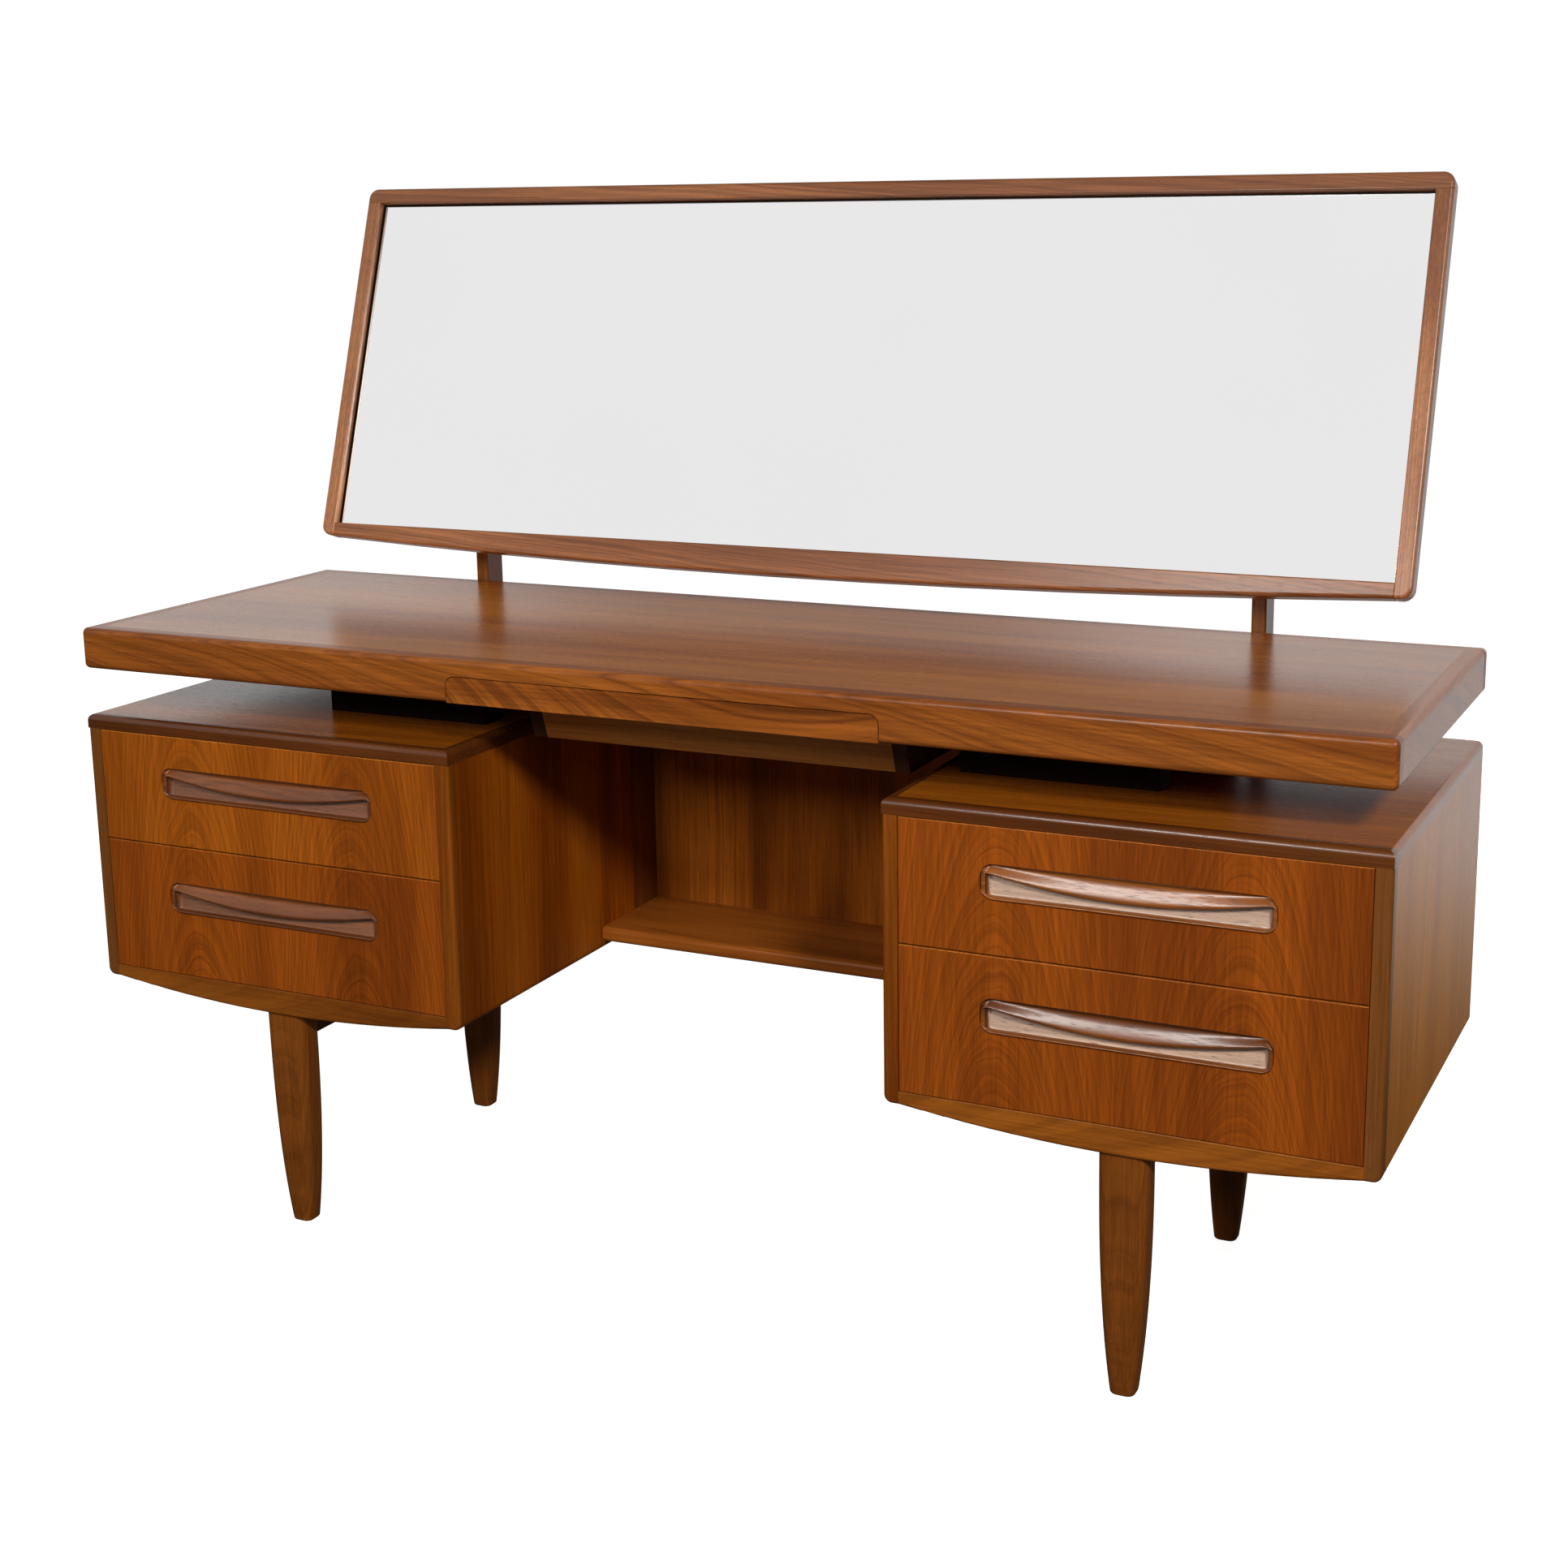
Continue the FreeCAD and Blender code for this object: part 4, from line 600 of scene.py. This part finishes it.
# a section carried along x: the lip's lower edge is a parabola in x, and the whole section is
# squeezed in height to the round-cornered outline near the ends
def letInHandle(name, centreX, centreZ, material):
    size = handle
    half, tall, corner = size["long"] / 2, size["high"] / 2, size["corner"]
    # columns crowd towards the ends, where the outline turns
    x = half * np.sin(np.linspace(-np.pi / 2, np.pi / 2, size["columns"]))
    past = np.clip(np.abs(x) - (half - corner), 0, corner)
    outline = tall - corner + np.sqrt(np.maximum(corner ** 2 - past ** 2, 0))
    scoopEnd = half - size["recessEnd"]
    share = np.clip(np.abs(x) / scoopEnd, 0, 1)
    lipEdge = size["lipEnd"] + (size["lipMiddle"] - size["lipEnd"]) * (1 - share ** 2)
    lip = np.zeros((x.size, len(lipSection), 2))
    lip[..., 0] = lipSection[:, 0]
    lip[..., 1] = lipEdge[:, None] + (tall - lipEdge)[:, None] * lipSection[None, :, 1]
    scoop = np.repeat(scoopSection[None], x.size, axis=0)
    # the hollow behind the lip keeps above the lip's edge, its first three points less and less
    lift = np.maximum(lipEdge + size["lipGap"] - scoop[:, 0, 1], 0)
    scoop[:, :3, 1] += lift[:, None] * np.array([1.0, 0.6, 0.35])
    section = throughPoints(np.concatenate([lip, scoop], axis=1), size["rows"])
    depth, height = section[..., 0], section[..., 1]
    # the scoop runs out in a steep rounded wall at each end
    openShare = 1 - smoothStep(np.abs(x), scoopEnd - size["wallIn"], scoopEnd + size["wallOut"])
    rim = size["rim"]
    depth = np.where(depth > rim, rim + (depth - rim) * openShare[:, None], depth)
    edge = smoothStep(np.abs(height), tall - size["roundHigh"], tall)
    depth = np.maximum(depth, size["round"] * edge)
    ends = smoothStep(np.abs(x), half - size["roundLong"], half)[:, None]
    depth = np.maximum(depth, size["round"] * ends)
    height = height * (outline / tall)[:, None]
    points = np.zeros((x.size, size["rows"] + 2, 3))
    points[..., 0] = centreX + x[:, None]
    points[:, 1:-1, 1] = frontY + depth
    points[:, 1:-1, 2] = centreZ + height
    points[:, 0, 1] = points[:, -1, 1] = frontY + size["deep"]
    points[:, 0, 2] = centreZ + outline
    points[:, -1, 2] = centreZ - outline
    piece = closedGrid(name, points)
    turnOutwards(piece)
    piece.data.materials.append(material)
    return piece


# bandFrom and wellFrom are depths behind the block's front: the scoop's pale floor, a painted reflection,
# begins at the first, and the painted shade on its end walls at the second
pullLook = {
    "bandFrom": 0.0062, "wellFrom": 0.0016,
    # painted light: the left handles are a shaded, darker copy and the right ones a lit, paler copy of one
    # teak, with a stronger painted reflection in the right scoops
    "left": {"light": (146, 84, 40), "mid": (120, 66, 30), "paintedReflectionTint": (140, 92, 66, 0.4)},
    "right": {"light": (158, 92, 38), "mid": (130, 70, 26), "paintedReflectionTint": (210, 184, 166, 0.70)},
}

for number, side in enumerate(("left", "right")):
    for level in ("upper", "lower"):
        drawer = "%s_%s_drawer" % (level, side)
        low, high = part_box(drawer + "_handle")
        middleX, middleZ = (low.x + high.x) / 2, (low.z + high.z) / 2
        # the band deeper than bandFrom is lightened and tinted: a painted reflection on the scoop's floor
        teak = wood(drawer + "_handle_teak", "X", "Z", ring=0.006, figure=0.5, streak=0.5, slope=0.03,
                    depth=0.03, crown=0.4, seed=2.0 + number + (0.6 if level == "upper" else 0), pores=0.9,
                    rough=0.30, gloss=0.42, sheen=0.22, bump=0.25, dark=(78, 40, 16),
                    bands=(("Y", 1, low.y + pullLook["bandFrom"]),), bandShade=(1.25, 1.45, 2.2),
                    well=(middleX, handle["long"] / 2 - handle["recessEnd"], low.y + pullLook["wellFrom"]),
                    **pullLook[side])
        made = letInHandle(drawer + "_pull", middleX, middleZ, teak)
        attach(made, drawer)
        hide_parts(drawer + "_handle")
print("handles made")


studio = {
    "floor": (0.90, 0.90, 0.90), "floorSize": 60.0, "cloudScale": 0.8, "cloudShade": 0.985,
    "glow": (0.86, 1.0), "glowReach": (1.0, 2.4),  # near and far, and the distances they hold at
    "bounce": 0.17,  # the floor's brightness to the light it passes on
    # what gloss shows in the floor: in front and behind, where it changes, and near and far tints
    "sheenFront": 0.06, "sheenBehind": 0.85, "sheenReach": (0.5, 2.2),
    "sheenTint": ((1.0, 0.72, 0.42), (0.94, 0.97, 1.0)),
    "fill": 0.025, "seen": 1.0,  # plain light from all round, and what the eye sees there
    "dip": {"across": -0.42, "reach": (0.05, 0.17), "depth": 0.62},  # a darker stretch of the rear wall
    # what gloss shows: pale walls, a darker ceiling in front, and less at a second bounce
    "reflected": 0.845, "ceiling": 0.14, "twice": 0.16,
    "rearWall": (-0.10, 0.10), "lowWall": (0.80, 0.66),  # parts of the way back and up where they meet
    "aim": 0.55,  # the height that every lamp is turned to
    "key": {"azimuth": 40, "height": 30, "away": 4.8, "size": 0.55, "power": 125, "tint": (1.0, 0.97, 0.90),
            "shows": True},  # whether gloss and glass show the lamp itself
    "front": {"azimuth": -5, "height": 25.2, "away": 3.2, "size": 0.7, "power": 40, "tint": (1.0, 0.98, 0.94),
              "shows": True},
    "rear": {"azimuth": 190, "height": 14, "away": 3.6, "size": 1.6, "power": 46, "tint": (1.0, 0.98, 0.94),
             "shows": False},
}


# the pale floor shows a soft glow of its own to the eye, more so further off, and is a plain
# mid grey to the light it bounces
def makeFloor():
    half = studio["floorSize"]
    mesh = bpy.data.meshes.new("floor")
    corners = [(-half, -half, 0), (half, -half, 0), (half, half, 0), (-half, half, 0)]
    mesh.from_pydata(corners, [], [(0, 1, 2, 3)])
    floor = bpy.data.objects.new("floor", mesh)
    scene.collection.objects.link(floor)
    material, tree, place = startMaterial("pale_floor")
    path = node(tree, "ShaderNodeLightPath")
    seen, glossy, sharp = (path.outputs["Is %s Ray" % k] for k in ("Camera", "Glossy", "Singular"))
    cloud = noise(tree, place, studio["cloudScale"])
    pale = studio["floor"] + (1,)
    shade = blendColour(tree, cloud, pale, shaded(pale, studio["cloudShade"]))
    dim = studio["bounce"]
    colour = blendColour(tree, seen, (dim, dim, dim, 1), shade)
    colour = blendColour(tree, glossy, colour, (0, 0, 0, 1))
    away = node(tree, "ShaderNodeVectorMath", {0: place}, operation="LENGTH").outputs["Value"]
    glow = spread(tree, away, *studio["glowReach"], *studio["glow"])
    behind = spread(tree, node(tree, "ShaderNodeSeparateXYZ", {0: place}).outputs[1], *studio["sheenReach"])
    back = between(tree, behind, studio["sheenFront"], studio["sheenBehind"])
    back = between(tree, sharp, back, studio["reflected"])
    strength = calc(tree, "ADD", calc(tree, "MULTIPLY", seen, glow), calc(tree, "MULTIPLY", glossy, back))
    diffuse = node(tree, "ShaderNodeBsdfDiffuse", {"Color": colour})
    nearTint, farTint = studio["sheenTint"]
    tinted = calc(tree, "SUBTRACT", glossy, sharp)
    tint = blendColour(tree, tinted, (1, 1, 1, 1), blendColour(tree, behind, nearTint + (1,), farTint + (1,)))
    light = node(tree, "ShaderNodeEmission", {"Color": tint, "Strength": strength})
    both = node(tree, "ShaderNodeAddShader", {0: diffuse.outputs[0], 1: light.outputs[0]})
    mesh.materials.append(finishMaterial(material, both))


# a round lamp aimed at the middle of the object: azimuth 0 is straight in front, and it counts
# towards the right
def makeLamp(name, look):
    azimuth, height = math.radians(look["azimuth"]), math.radians(look["height"])
    level = math.cos(height)
    toLamp = Vector((math.sin(azimuth) * level, -math.cos(azimuth) * level, math.sin(height)))
    data = bpy.data.lights.new(name, "AREA")
    data.shape = "DISK"
    data.size = look["size"]
    data.energy = look["power"]
    data.color = look["tint"]
    lamp = bpy.data.objects.new(name, data)
    lamp.location = Vector((0, 0, studio["aim"])) + toLamp * look["away"]
    lamp.rotation_euler = (-toLamp).to_track_quat("-Z", "Y").to_euler()
    lamp.visible_glossy = look["shows"]
    scene.collection.objects.link(lamp)


# one white background whose strength depends on the ray: the seen level to the eye, a little
# fill to plain light, and pale walls with a darker ceiling to gloss
def makeSurroundings():
    world = bpy.data.worlds.new("studio")
    scene.world = world
    world.use_nodes = True
    tree = world.node_tree
    tree.nodes.clear()
    path = node(tree, "ShaderNodeLightPath")
    seen, glossy, sharp = (path.outputs["Is %s Ray" % k] for k in ("Camera", "Glossy", "Singular"))
    split = node(tree, "ShaderNodeSeparateXYZ", {0: node(tree, "ShaderNodeTexCoord").outputs["Generated"]})
    behind = spread(tree, split.outputs[1], *studio["rearWall"])
    low = spread(tree, split.outputs[2], *studio["lowWall"])
    walls = calc(tree, "MAXIMUM", behind, low)
    gloss = between(tree, walls, studio["ceiling"], studio["reflected"])
    dip = studio["dip"]
    off = calc(tree, "ABSOLUTE", calc(tree, "SUBTRACT", split.outputs[0], dip["across"]))
    near = calc(tree, "MULTIPLY", behind, spread(tree, off, *dip["reach"], dip["depth"], 0.0))
    gloss = calc(tree, "MULTIPLY", gloss, calc(tree, "SUBTRACT", 1.0, near))
    gloss = between(tree, sharp, gloss, studio["reflected"])
    again = calc(tree, "GREATER_THAN", path.outputs["Glossy Depth"], 1.5)  # 2 and above
    gloss = between(tree, again, gloss, studio["twice"])
    level = between(tree, glossy, studio["fill"], gloss)
    level = calc(tree, "MULTIPLY_ADD", seen, studio["seen"] - studio["fill"], level)
    back = node(tree, "ShaderNodeBackground", {"Color": (1, 1, 1, 1), "Strength": level})
    out = node(tree, "ShaderNodeOutputWorld")
    tree.links.new(back.outputs[0], out.inputs[0])


makeFloor()
makeLamp("key_lamp", studio["key"])
makeLamp("front_lamp", studio["front"])
makeLamp("rear_lamp", studio["rear"])
makeSurroundings()
scene.view_settings.view_transform = "Standard"
scene.view_settings.look = "None"
print("studio made")
